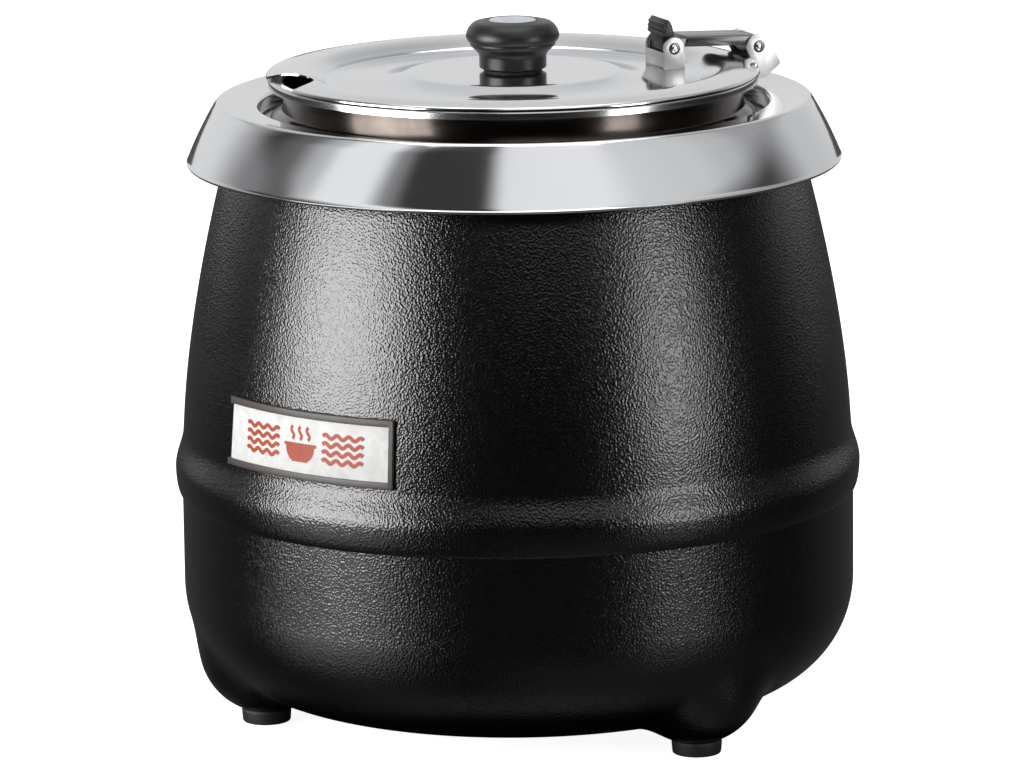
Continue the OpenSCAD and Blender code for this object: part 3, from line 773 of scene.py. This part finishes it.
def lid():
    """A raised hub, a slope down to a flat disc, a raised ring and a rolled edge with a ladle notch."""
    slope = 20.2
    path = [(2.7, HUB_Z), (30, HUB_Z)]
    path += arc((49.8, HUB_Z - 12), 12, 90, 90 - slope, 10)
    path += arc((70, DISC_Z + 46.5), 46.5, -90 - slope, -90, 16)[1:]
    path += [(82, DISC_Z), (91.4, DISC_Z)]
    path += arc((91.4, DISC_Z + 3.2), 3.2, -80, -40, 6)
    ring_z = DISC_Z + 1.4
    path += [(94.6 + 11.4 * k, ring_z + (CREST_Z - ring_z) * math.sin(math.pi / 2 * k) ** 1.15)
             for k in np.linspace(0.1, 1, 14)]
    path += [(108.5, CREST_Z), (111, CREST_Z - 0.1), (114, CREST_Z - 0.4), (117, CREST_Z - 0.9),
             (119.3, CREST_Z - 1.5)]
    path += arc((LID_R - 1.5, CREST_Z - 3.1), 1.5, 74, 0, 8)
    path += [(LID_R, CREST_Z - 3.2)]
    made = revolve("lid_skin", walled(path, -LID_SHEET), 288, sharp=45)
    profile = [(0, 310), (NOTCH_R, 310), (NOTCH_R, 330), (0, 330)]
    cut(made, drum("notch_cutter", profile, at_azimuth(NOTCH_AZIMUTH, LID_R + NOTCH_OUT), 96))
    return made


dress(lid(), "lid", "lid")

# ---- lid knob ----

KNOB_FOOT = high_z("knob_base")
KNOB_TOP = high_z("knob_cap")
CAP_SEAT = KNOB_TOP - 1.6
CAP_R = 11.7
SCREW_R = 2.5
NECK_R = 16.6
NECK_TOP = HUB_Z + 7
AXIS = Matrix.Identity(4)


def knob_base():
    seat = [(SCREW_R, HUB_Z), (14.4, HUB_Z, 0.2), (14.4, KNOB_FOOT, 0.2), (SCREW_R, KNOB_FOOT)]
    return drum("knob_seat_ring", rounded(seat, 4), AXIS, 128)


def lid_knob():
    """A neck above a thin seat ring, flaring into a mushroom head with a seat for the cap."""
    head_r, head_z, head_out = 15.6, KNOB_TOP - 8.4, 7.4
    head_below, head_above = 4.6, 7.7
    neck = [(SCREW_R, KNOB_FOOT), (14.8, KNOB_FOOT, 0.2), (NECK_R, KNOB_FOOT + 1.0, 0.7), (NECK_R, NECK_TOP)]
    profile = rounded(neck, 5, closed=False)
    profile += [(NECK_R + 4.6 * smooth_step(k) * k ** 0.4, NECK_TOP + 6.4 * k)
                for k in np.linspace(0.08, 1, 12)]
    for a in np.radians(np.arange(-42, 68, 6)):
        height = head_below if a < 0 else head_above
        profile.append((head_r + head_out * math.cos(a), head_z + height * math.sin(a)))
    rim = [(16.4, KNOB_TOP - 1.0), (12.8, KNOB_TOP - 0.25, 0.5), (11.9, KNOB_TOP - 0.9, 0.3),
           (11.9, CAP_SEAT)]
    profile += rounded(rim, 4, closed=False)
    profile += [(0, CAP_SEAT), (0, HUB_Z + 14), (SCREW_R, HUB_Z + 14)]
    return drum("knob_head", profile, AXIS, 128, sharp=40)


def knob_cap():
    edge_r, edge_z = CAP_R - 0.7, KNOB_TOP - 1.0
    profile = [(0, CAP_SEAT), (CAP_R, CAP_SEAT), (CAP_R, edge_z)]
    profile += arc((edge_r, edge_z), 0.7, 20, 84, 5)
    profile += [(r, KNOB_TOP - 0.32 * (r / edge_r) ** 2) for r in (9, 7, 5, 3, 1.5, 0)]
    return drum("knob_cap_disc", profile, AXIS, 128)


dress(knob_base(), "lid", "knob_base")
dress(lid_knob(), "lid", "lid_knob")
dress(knob_cap(), "lid", "knob_cap")

# ---- lid hinge ----

HALF_W = 12.0
PLATE = 1.2
EAR_R = 5.7
BOSS_R = 3.0
BOSS_HOLE = 3.05
CUT_REACH = 40.0


def along_y(centre):
    """Turns a shape drawn round Z so that it lies along local Y at a place of the hinge."""
    return HINGE @ Matrix.Translation((centre[0], 0, centre[1])) @ Matrix.Rotation(math.radians(-90), 4, "X")


def round_bar(name, r, centre, low, high, edge=0.3, segments=64):
    profile = rounded([(0, low), (r, low, edge), (r, high, edge), (0, high)], 4)
    return drum(name, profile, along_y(centre), segments)


def pierce(obj, centre, r):
    """Cuts a round hole along local Y."""
    profile = [(0, -CUT_REACH), (r, -CUT_REACH), (r, CUT_REACH), (0, CUT_REACH)]
    cut(obj, drum("hole_cutter", profile, along_y(centre)))
    return obj


def shifted(points, centre):
    return [(centre[0] + x, centre[1] + z) for x, z in points]


def pair(name, outline, centre):
    """Two equal plates with a pin hole, one on each side of the hinge's middle plane."""
    made = []
    for i, (low, high) in enumerate(((-HALF_W, PLATE - HALF_W), (HALF_W - PLATE, HALF_W))):
        plate = prism(f"{name}_{i}", shifted(outline, centre), low, high, HINGE)
        made.append(pierce(plate, centre, BOSS_HOLE))
    return made


def lid_bracket():
    """A folded channel on the lid: two round ears and a web towards the lid's middle."""
    foot = DISC_Z - FRONT[1]
    ear = arc((0, 0), EAR_R, 0, 180, 24) + [(-EAR_R, foot), (EAR_R, foot)]
    parts = pair("ear", ear, FRONT)
    sole = [(-EAR_R, foot), (EAR_R, foot), (EAR_R, foot + PLATE), (-EAR_R, foot + PLATE)]
    parts.append(prism("bracket_floor", shifted(sole, FRONT), 0.6 - HALF_W, HALF_W - 0.6, HINGE, 0.2))
    web = [(-EAR_R, foot), (1 - EAR_R, foot), (1 - EAR_R, foot + 8.5), (-EAR_R, foot + 8.5)]
    parts.append(prism("bracket_web", shifted(web, FRONT), 0.5 - HALF_W, HALF_W - 0.5, HINGE))
    return join("lid_bracket_plate", parts)


def rear_bracket():
    """A folded bracket that hangs on the pot's rim, with a web along its outer edge."""
    low = -15.8
    side = arc((0, 0), 6.5, 46, 216, 30)
    side += [(-4.9, -5.2), (-4.1, -7.4), (-3.3, -10.2), (-2.6, -13.0)]
    side += rounded([(-2.6, -13.0), (-1.8, low, 0.6), (3.2, low, 1.2), (12.0, -9.0, 1.6), (4.52, 4.68)],
                    6, closed=False)
    parts = pair("cheek", side, REAR)
    web = [(6.9, 0), (12, -9), (3.2, low), (-6, low), (-6, low + PLATE), (2.8, low + PLATE),
           (10.4, -8.8), (5.7, -0.4)]
    parts.append(prism("bracket_back", shifted(web, REAR), 0.5 - HALF_W, HALF_W - 0.5, HINGE, 0.2))
    inner_r, foot, top = RIM_R + 0.1, REAR[1] + low, RIM_Z - 0.4
    saddle = [(inner_r, foot), (inner_r + PLATE, foot), (inner_r + PLATE, top, 0.3), (inner_r, top, 0.3)]
    parts.append(revolve("bracket_saddle", rounded(saddle, 3), 16, HINGE_AZIMUTH - 5, 10))
    return join("rear_bracket_plate", parts)


def arm_point(along, up):
    """A point given from the rear pin: along the line to the front pin, and up from that line."""
    line = np.array(FRONT) - np.array(REAR)
    d = line / np.linalg.norm(line)
    return tuple(np.array(REAR) + d * along + np.array((d[1], -d[0])) * up)


def hinge_arm():
    """A black moulded channel from the rear pin to two knuckles on the front pin."""
    length = math.dist(FRONT, REAR)
    half, knuckle, wall = 10.65, 8.4, 1.8
    corners = [(3.6, 0.6), (length - 6, 0.6), (length - 6, 4.2, 0.5), (length - 7.4, 5.6, 0.6),
               (4.5, 5.6, 1.2), (1.0, 4.9)]
    outline = [arm_point(x, z) for x, z in rounded(corners, 5)]
    bar = prism("arm_bar", outline, -half, half, HINGE, 0.45, segments=3)
    pocket = [arm_point(x, z) for x, z in ((8, -2), (length - 8.5, -2), (length - 8.5, 3.8), (8, 3.8))]
    bm = bmesh.new()
    prism_into(bm, pocket, wall - half, half - wall, HINGE)
    cut(bar, add_mesh("arm_pocket", bm))
    parts = [bar, round_bar("arm_rear", 5.2, REAR, -half, half, 0.5)]
    for side in (-1, 1):
        low, high = sorted((side * knuckle, side * half))
        parts.append(round_bar("arm_knuckle", 5.0, FRONT, low, high, 0.4))
        link = [arm_point(length + x, z) for x, z in ((-8, 0.6), (0, 0.2), (0, 4.8), (-8, 4.9))]
        parts.append(prism("arm_link", link, low, high, HINGE, 0.2))
        low, high = sorted((side * (half - 1), side * (HALF_W - 0.02)))
        parts += [round_bar("arm_boss", BOSS_R, centre, low, high, 0.25) for centre in (FRONT, REAR)]
    return join("arm_channel", parts)


def hinge_pin(name, centre):
    """A pin with domed ends."""
    reach = HALF_W + 0.3
    profile = [(0, -reach - 0.25), (0.9, -reach - 0.2), (1.6, -reach), (2.0, 0.4 - reach),
               (2.0, reach - 0.4), (1.6, reach), (0.9, reach + 0.2), (0, reach + 0.25)]
    return drum(name, profile, along_y(centre), 48)


def release_lever():
    """A hub on the front pin with a thumb plate that has three grip ribs."""
    hub = round_bar("lever_hub", 4.4, FRONT, -8.15, 8.15, 0.4)
    neck = rounded([(-4.38, 0.4), (-1.5, -2.0), (3.0, 1.8, 0.6), (1.0, 7.0), (-4.9, 7.0)], 4)
    parts = [hub, prism("lever_neck", shifted(neck, FRONT), -8.1, 8.1, HINGE, 0.4)]
    thumb = rounded([(-5.0, 6.0, 0.6), (-4.9, 9.5, 2.0), (-4.3, 12.6, 1.5), (-3.0, 14.3, 0.7),
                     (-1.9, 14.1, 0.7), (-0.5, 11.6, 1.5), (0.9, 6.0, 0.6)], 4)
    parts.append(prism("lever_thumb", shifted(thumb, FRONT), -10.4, 10.4, HINGE, 0.5, segments=3))
    for up, out in ((7.6, -4.85), (9.7, -4.75), (11.8, -4.35)):
        parts.append(round_bar("lever_rib", 0.8, (FRONT[0] + out, FRONT[1] + up), -9.8, 9.8, 0.5, 24))
    return join("lever_thumb_plate", parts)


def rim_clamp():
    """A block under the rear bracket with a tongue that reaches up behind the pot's rim."""
    low, shelf, top = low_z("rim_clamp"), REAR[1] - 16.0, RIM_Z - 1.3
    profile = rounded([(114.4, low, 0.5), (123.6, low, 0.8), (123.6, shelf, 0.3), (120.0, shelf, 0.2),
                       (120.0, top, 0.3), (117.5, top, 0.3), (117.5, shelf, 0.2), (114.4, shelf, 0.3)], 4)
    return revolve("rim_clamp_block", profile, 14, HINGE_AZIMUTH - 4.7, 9.4)


dress(lid_bracket(), "lid", "lid_bracket")
dress(rear_bracket(), "pot", "hinge_bracket")
dress(hinge_arm(), "arm", "hinge_arm", finish="arm_plastic")
dress(hinge_pin("front_pin_rod", FRONT), "arm", "front_pin")
dress(hinge_pin("rear_pin_rod", REAR), "arm", "rear_pin")
dress(release_lever(), "lever", "release_lever")
dress(rim_clamp(), "pot", "rim_clamp")

# ---- label ----

CARD_DEG = 34.0
HOLDER_EXTRA_DEG = 1.4


def on_shell(z):
    return np.array((neck_r(z) + 0.12, z))


HOLDER_LOW = on_shell(low_z("label_holder"))
HOLDER_HIGH = on_shell(high_z("label_holder"))
SLOT = math.dist(HOLDER_LOW, HOLDER_HIGH)
BULGE = 0.36
CARD_BACK = 0.65
CARD_FRONT = 1.45
CARD_MARGIN = 1.85


def holder_point(out, up):
    """A point of the label's section: out from the shell and up along its slope."""
    line = (HOLDER_HIGH - HOLDER_LOW) / SLOT
    r, z = HOLDER_LOW + np.array((BULGE, 0)) + line * up + np.array((line[1], -line[0])) * out
    return r, z


def on_card(across, up, out):
    """A point on the card: across from its middle in millimetres along the curve."""
    r, z = holder_point(out, up)
    a = across / r
    return Vector((r * math.sin(a), -r * math.cos(a), z))


def label_holder():
    """A backing with an overhanging rail at the top and the bottom, and a stop at one end."""
    front, lip, back, rail, groove = 2.2, 1.7, 0.5, 3.4, 1.7
    lower = [(back, groove, 0.1), (lip, groove, 0.1), (lip, rail, 0.1), (front, rail, 0.25), (front, 0, 0.5)]
    upper = [(x, SLOT - z, r) for x, z, r in lower[::-1]]
    rails = rounded([(0, 0, 0.15), (0, SLOT, 0.15)] + upper + lower, 3)
    deg = CARD_DEG + HOLDER_EXTRA_DEG
    stop = rounded([(0.1, 0.4, 0.1), (0.1, SLOT - 0.4, 0.1), (2.3, SLOT - 0.4, 0.4), (2.3, 0.4, 0.4)], 3)
    return join("holder_frame", [
        revolve("holder_rails", [holder_point(*q) for q in rails], 48, -deg / 2, deg),
        revolve("holder_stop", [holder_point(*q) for q in stop], 4, CARD_DEG / 2 + 0.08, 0.7)])


def label_card():
    low, high = CARD_MARGIN, SLOT - CARD_MARGIN
    corners = [(CARD_BACK, low, 0.1), (CARD_BACK, high, 0.1), (CARD_FRONT, high, 0.1), (CARD_FRONT, low, 0.1)]
    outline = [holder_point(*q) for q in rounded(corners, 2)]
    return revolve("card_sheet", outline, 48, -CARD_DEG / 2, CARD_DEG)


def ribbon(bm, points, width):
    """A printed line on the card, drawn through (across, up) points."""
    p = np.array(points, float)
    d = np.gradient(p, axis=0)
    side = np.stack((-d[:, 1], d[:, 0]), 1) / np.linalg.norm(d, axis=1)[:, None] * width / 2
    section = ((-1, -0.1), (-1, 0.05), (1, 0.05), (1, -0.1))
    rows = [[bm.verts.new(on_card(*(q + k * m), CARD_FRONT + lift)) for k, lift in section]
            for q, m in zip(p, side)]
    for one, two in zip(rows, rows[1:]):
        for k in range(4):
            n = (k + 1) % 4
            bm.faces.new((one[k], one[n], two[n], two[k]))
    bm.faces.new(rows[0][::-1])
    bm.faces.new(rows[-1])


def card_picture():
    """A bowl with steam between two groups of waves."""
    bm = bmesh.new()
    middle = SLOT / 2
    for side in (-1, 1):
        for row in (-6.0, -2.0, 2.0, 6.0):
            wave = [(side * (13.5 + 23.0 * k), middle + row + 0.9 * math.sin(2 * math.pi * k * 3.5))
                    for k in np.linspace(0, 1, 57)]
            ribbon(bm, wave, 2.0)
    for depth in np.linspace(0, 6.6, 9):
        half = math.sqrt(max(8.8 ** 2 - (depth * 1.1) ** 2, 0.2))
        ribbon(bm, [(x, middle - 1.0 - depth) for x in np.linspace(-half, half, 14)], 1.0)
    ribbon(bm, [(x, middle + 0.2) for x in np.linspace(-10.0, 10.0, 20)], 1.6)
    for x in (-4.8, 0, 4.8):
        ribbon(bm, [(x + 0.9 * math.sin(2 * math.pi * k), middle + 2.6 + 6.4 * k)
                    for k in np.linspace(0, 1, 22)], 1.7)
    return add_mesh("card_print", bm, 60)


dress(label_holder(), "housing", "label_holder")
dress(label_card(), "card", "label_card")
dress(card_picture(), "card", slot="card_white", finish="card_ink")

# ---- thermostat knob at the back ----

DIAL = Vector(JOINTS["thermostat_dial"]["pos_m"]) / MM
OUTWARD = -Vector(JOINTS["thermostat_dial"]["axis"])
DIAL_FLOOR = 147.2
QUARTER = Matrix.Rotation(math.radians(90), 4, "X")
FLUTES = 12
FLUTE_DEPTH = 1.5
KNOB_SKIRT_TOP = 6.9
TICKS = 11
TICK_STEP = 27
TICK_START = -135


def dial_place():
    """Turns a shape drawn round Z so that it points outward from the recess's floor."""
    start = DIAL + OUTWARD * (DIAL_FLOOR - DIAL.dot(OUTWARD))
    up = Vector((0, 0, 1))
    side = up.cross(OUTWARD).normalized()
    return Matrix.Translation(start) @ Matrix((side, up, OUTWARD)).transposed().to_4x4()


DIAL_PLACE = dial_place()


def pull_in(bm, depth_at):
    """Moves each vertex towards the Z axis by depth_at(radius, angle, height)."""
    for v in bm.verts:
        r = math.hypot(v.co.x, v.co.y)
        if r > MERGE:
            k = (r - depth_at(r, math.atan2(v.co.y, v.co.x), v.co.z)) / r
            v.co.x *= k
            v.co.y *= k


def flute(r, a, z):
    if r <= 10 or z <= KNOB_SKIRT_TOP:
        return 0
    fade = min(1, (z - KNOB_SKIRT_TOP) / 1.5) * min(1, (r - 10) / 3)
    return FLUTE_DEPTH * max(0, math.cos(FLUTES * a)) ** 3 * fade


def control_knob():
    """A skirt with a fluted grip, a domed face and a pointer."""
    bm = bmesh.new()
    grip = rounded([(17.5, 3.0, 0.4), (17.5, 6.4, 0.9), (14.4, 7.0, 0.8), (13.6, 17.0, 1.2),
                    (9.0, 18.0, 6)], 6, closed=False)
    outline = [(8.5, 3.0)] + grip + [(6, 18.05), (3, 18.1), (0, 18.1), (0, 5.0), (8.5, 5.0)]
    revolve_into(bm, outline, 240)
    clean(bm)
    pull_in(bm, flute)
    bmesh.ops.transform(bm, matrix=DIAL_PLACE, verts=bm.verts)
    knob = add_mesh("dial_grip", bm)
    bar = rounded([(-0.8, 1.5, 0.5), (0.8, 1.5, 0.5), (0.8, 12.6, 0.7), (-0.8, 12.6, 0.7)], 4)
    pointer = prism("dial_pointer", bar, -18.8, -17.9, DIAL_PLACE @ QUARTER, bevel=0)
    return knob, pointer


knob, pointer = control_knob()
dress(knob, "control", "control_knob")
dress(pointer, "control", slot="card_white")


def dial_marks():
    """Raised ticks on the plate round the knob."""
    tick = [(-0.25, 17.7), (0.25, 17.7), (0.25, 18.8), (-0.25, 18.8)]
    bm = bmesh.new()
    for i in range(TICKS):
        turn = Matrix.Rotation(math.radians(TICK_START + TICK_STEP * i), 4, "Z")
        prism_into(bm, tick, -0.75, -0.55, DIAL_PLACE @ turn @ QUARTER)
    return add_mesh("dial_ticks", bm)


dress(dial_marks(), "housing", slot="black_plastic")

# ---- lamp and cable gland beside the knob ----


LAMP = DIAL_PLACE @ Matrix.Translation((-31, 9, 0))
GLAND = DIAL_PLACE @ Matrix.Translation((-55, 0, 0))
TAIL = -12.0
LENS_R = 3.9
BORE_R = 4.0
RIBS = 24
RIB_DEPTH = 0.35


def lamp_bezel():
    profile = rounded([(BORE_R, -8), (5.0, -8, 0.3), (5.0, 0), (6.5, 0), (6.5, 0.9, 0.5), (5.4, 1.6, 0.5),
                       (BORE_R, 1.2, 0.2)], 4)
    return drum("bezel_ring", profile, LAMP, 72)


def pilot_lamp():
    profile = [(0, TAIL), (LENS_R, TAIL), (LENS_R, 1.6)] + arc((0, -0.6), 4.48, 28, 90, 12)
    return drum("lamp_lens", profile, LAMP, 48)


def rib(r, a, z):
    return RIB_DEPTH * (0.5 + 0.5 * math.cos(RIBS * a)) if r > 8.5 and 5.3 < z < 11.5 else 0


def cable_gland():
    """A hexagon flange under a ribbed sealing cap, with a threaded tail behind the wall."""
    bm = bmesh.new()
    revolve_into(bm, [(5, 0), (11.5, 0), (11.5, 5), (5, 5)], 6)
    clean(bm)
    bmesh.ops.transform(bm, matrix=GLAND, verts=bm.verts)
    flange = add_mesh("gland_flange", bm, bevel=0.5)
    thread = [(7.9 - 0.5 * (i % 2), TAIL + 0.75 * i) for i in range(17)]
    cap = rounded([(8.0, 4.6), (9.6, 5.2, 0.3), (9.6, 11.6, 0.8), (7.8, 12.4, 0.4), (7.3, 15, 0.9),
                   (BORE_R, 15, 0.5)], 5, closed=False)
    bm = bmesh.new()
    revolve_into(bm, [(BORE_R, TAIL)] + thread + cap, 192)
    clean(bm)
    pull_in(bm, rib)
    bmesh.ops.transform(bm, matrix=GLAND, verts=bm.verts)
    return join("gland_body", [flange, add_mesh("gland_cap", bm)])


dress(lamp_bezel(), "housing", "lamp_bezel")
dress(pilot_lamp(), "housing", "pilot_lamp")
dress(cable_gland(), "housing", "cable_gland")

# ---- studio: light powers in watts, lengths in metres ----

FLOOR_HALF_MM = 12000.0
FLOOR_GAP_MM = 0.4


def floor():
    """A pale sweep that stays white to the eye and is dim in the reflections on the steel."""
    corners = ((-1, -1), (1, -1), (1, 1), (-1, 1))
    bm = bmesh.new()
    verts = [bm.verts.new((x * FLOOR_HALF_MM, y * FLOOR_HALF_MM, -FLOOR_GAP_MM)) for x, y in corners]
    bm.faces.new(verts)
    made = add_mesh("floor", bm)
    m = Shader("floor_paint", (0.93, 0.93, 0.93), 0.9, Specular_IOR_Level=0.1)
    m.colour(m.ramp(m.noise(3.0, 2.0), [(0.2, 0.92), (0.8, 0.94)]))
    glow = m.node("ShaderNodeEmission", Strength=0.9)
    dim = m.node("ShaderNodeBsdfAnisotropic", Color=(0.12, 0.12, 0.12, 1), Roughness=0.25)
    lit = m.node("ShaderNodeAddShader")
    pick = m.node("ShaderNodeMixShader")
    m.link(glow.outputs[0], lit.inputs[0])
    m.link(m.shader.outputs[0], lit.inputs[1])
    m.link(m.node("ShaderNodeLightPath").outputs["Is Camera Ray"], pick.inputs[0])
    m.link(dim.outputs[0], pick.inputs[1])
    m.link(lit.outputs[0], pick.inputs[2])
    m.link(pick.outputs[0], m.tree.nodes["Material Output"].inputs["Surface"])
    made.data.materials.append(m.material)


floor()


FRONT_AZIMUTH = 38.6
LOW_PANELS = [(-180, 0.74), (-140, 0.78), (-112, 0.25), (-92, 0.10), (-78, 0.9), (-56, 0.9), (-38, 0.02),
              (0, 0.0), (30, 0.0), (42, 0.05), (50, 0.6), (62, 0.6), (76, 0.04), (104, 0.06), (132, 0.6),
              (180, 0.74)]
HIGH_PANELS = [(-180, 0.7), (-128, 0.42), (-112, 0.05), (-98, 0.14), (-84, 0.55), (-76, 0.95), (-60, 0.95),
               (-50, 0.25), (-42, 0.04), (-13, 0.04), (-3, 0.9), (34, 0.95), (52, 0.74), (76, 0.68),
               (92, 0.56), (108, 0.38), (130, 0.34), (150, 0.5), (180, 0.7)]


def world():
    """Soft studio light: a sphere with dark and bright panels, one row low down and one above it.

    Each panel is (azimuth from the studio's front, brightness). What the eye sees behind is white.
    """
    made = bpy.data.worlds.new("studio")
    bpy.context.scene.world = made
    made.use_nodes = True
    tree = made.node_tree
    nodes, links = tree.nodes, tree.links
    background = nodes["Background"]

    def math_node(kind, *values):
        node = nodes.new("ShaderNodeMath")
        node.operation = kind
        for i, value in enumerate(values):
            if isinstance(value, (int, float)):
                node.inputs[i].default_value = value
            else:
                links.new(value, node.inputs[i])
        return node.outputs[0]

    turn = nodes.new("ShaderNodeMapping")
    turn.vector_type = "POINT"
    turn.inputs["Rotation"].default_value = (0, 0, math.radians(90 - FRONT_AZIMUTH))
    links.new(nodes.new("ShaderNodeTexCoord").outputs["Generated"], turn.inputs["Vector"])
    split = nodes.new("ShaderNodeSeparateXYZ")
    links.new(turn.outputs["Vector"], split.inputs["Vector"])
    x, y, z = (split.outputs[i] for i in range(3))
    # 0 behind the object's left, 0.5 in front of it, 1 behind its right
    around = math_node("ADD", math_node("DIVIDE", math_node("ARCTAN2", y, x), 2 * math.pi), 0.5)
    up = math_node("DIVIDE", math_node("ARCSINE", z), math.pi / 2)

    def ramp(source, stops):
        node = nodes.new("ShaderNodeValToRGB")
        node.color_ramp.interpolation = "EASE"
        ends = node.color_ramp.elements
        while len(ends) < len(stops):
            ends.new(0.5)
        for end, (where, value) in zip(ends, stops):
            end.position = where
            end.color = (value, value, value, 1)
        links.new(source, node.inputs["Fac"])
        return node.outputs["Color"]

    low, high = (ramp(around, [((a + 180) / 360, value) for a, value in row])
                 for row in (LOW_PANELS, HIGH_PANELS))
    strength = ramp(up, [(0.0, 0.0), (0.21, 0.0), (0.31, 1.0), (1.0, 1.0)])
    mix = nodes.new("ShaderNodeMix")
    mix.data_type = "RGBA"
    links.new(strength, mix.inputs[MIX_FACTOR])
    links.new(low, mix.inputs[MIX_A])
    links.new(high, mix.inputs[MIX_B])
    seen = nodes.new("ShaderNodeMix")
    seen.data_type = "RGBA"
    links.new(nodes.new("ShaderNodeLightPath").outputs["Is Camera Ray"], seen.inputs[MIX_FACTOR])
    links.new(mix.outputs[MIX_RESULT], seen.inputs[MIX_A])
    seen.inputs[MIX_B].default_value = (1, 1, 1, 1)
    links.new(seen.outputs[MIX_RESULT], background.inputs["Color"])
    background.inputs["Strength"].default_value = 1.0


world()

OBJECT_MIDDLE = Vector((0, 0, 0.16))


def softbox(name, azimuth, elevation, distance, size, power):
    """A rectangular light that faces the object's middle. Its azimuth counts from the studio's front."""
    data = bpy.data.lights.new(name, "AREA")
    data.shape = "RECTANGLE"
    data.size, data.size_y = size
    data.energy = power
    lamp = bpy.data.objects.new(name, data)
    bpy.context.scene.collection.objects.link(lamp)
    a, e = math.radians(FRONT_AZIMUTH + azimuth), math.radians(elevation)
    away = Vector((math.sin(a) * math.cos(e), -math.cos(a) * math.cos(e), math.sin(e)))
    lamp.location = away * distance + OBJECT_MIDDLE
    lamp.rotation_euler = away.to_track_quat("Z", "Y").to_euler()


softbox("left_strip", -62, 6.5, 1.6, (1.25, 0.86), 31.0)
softbox("right_strip", 53, 5.5, 1.6, (0.46, 0.68), 5.6)
softbox("overhead", 0, 88, 1.8, (1.6, 1.6), 12.0)
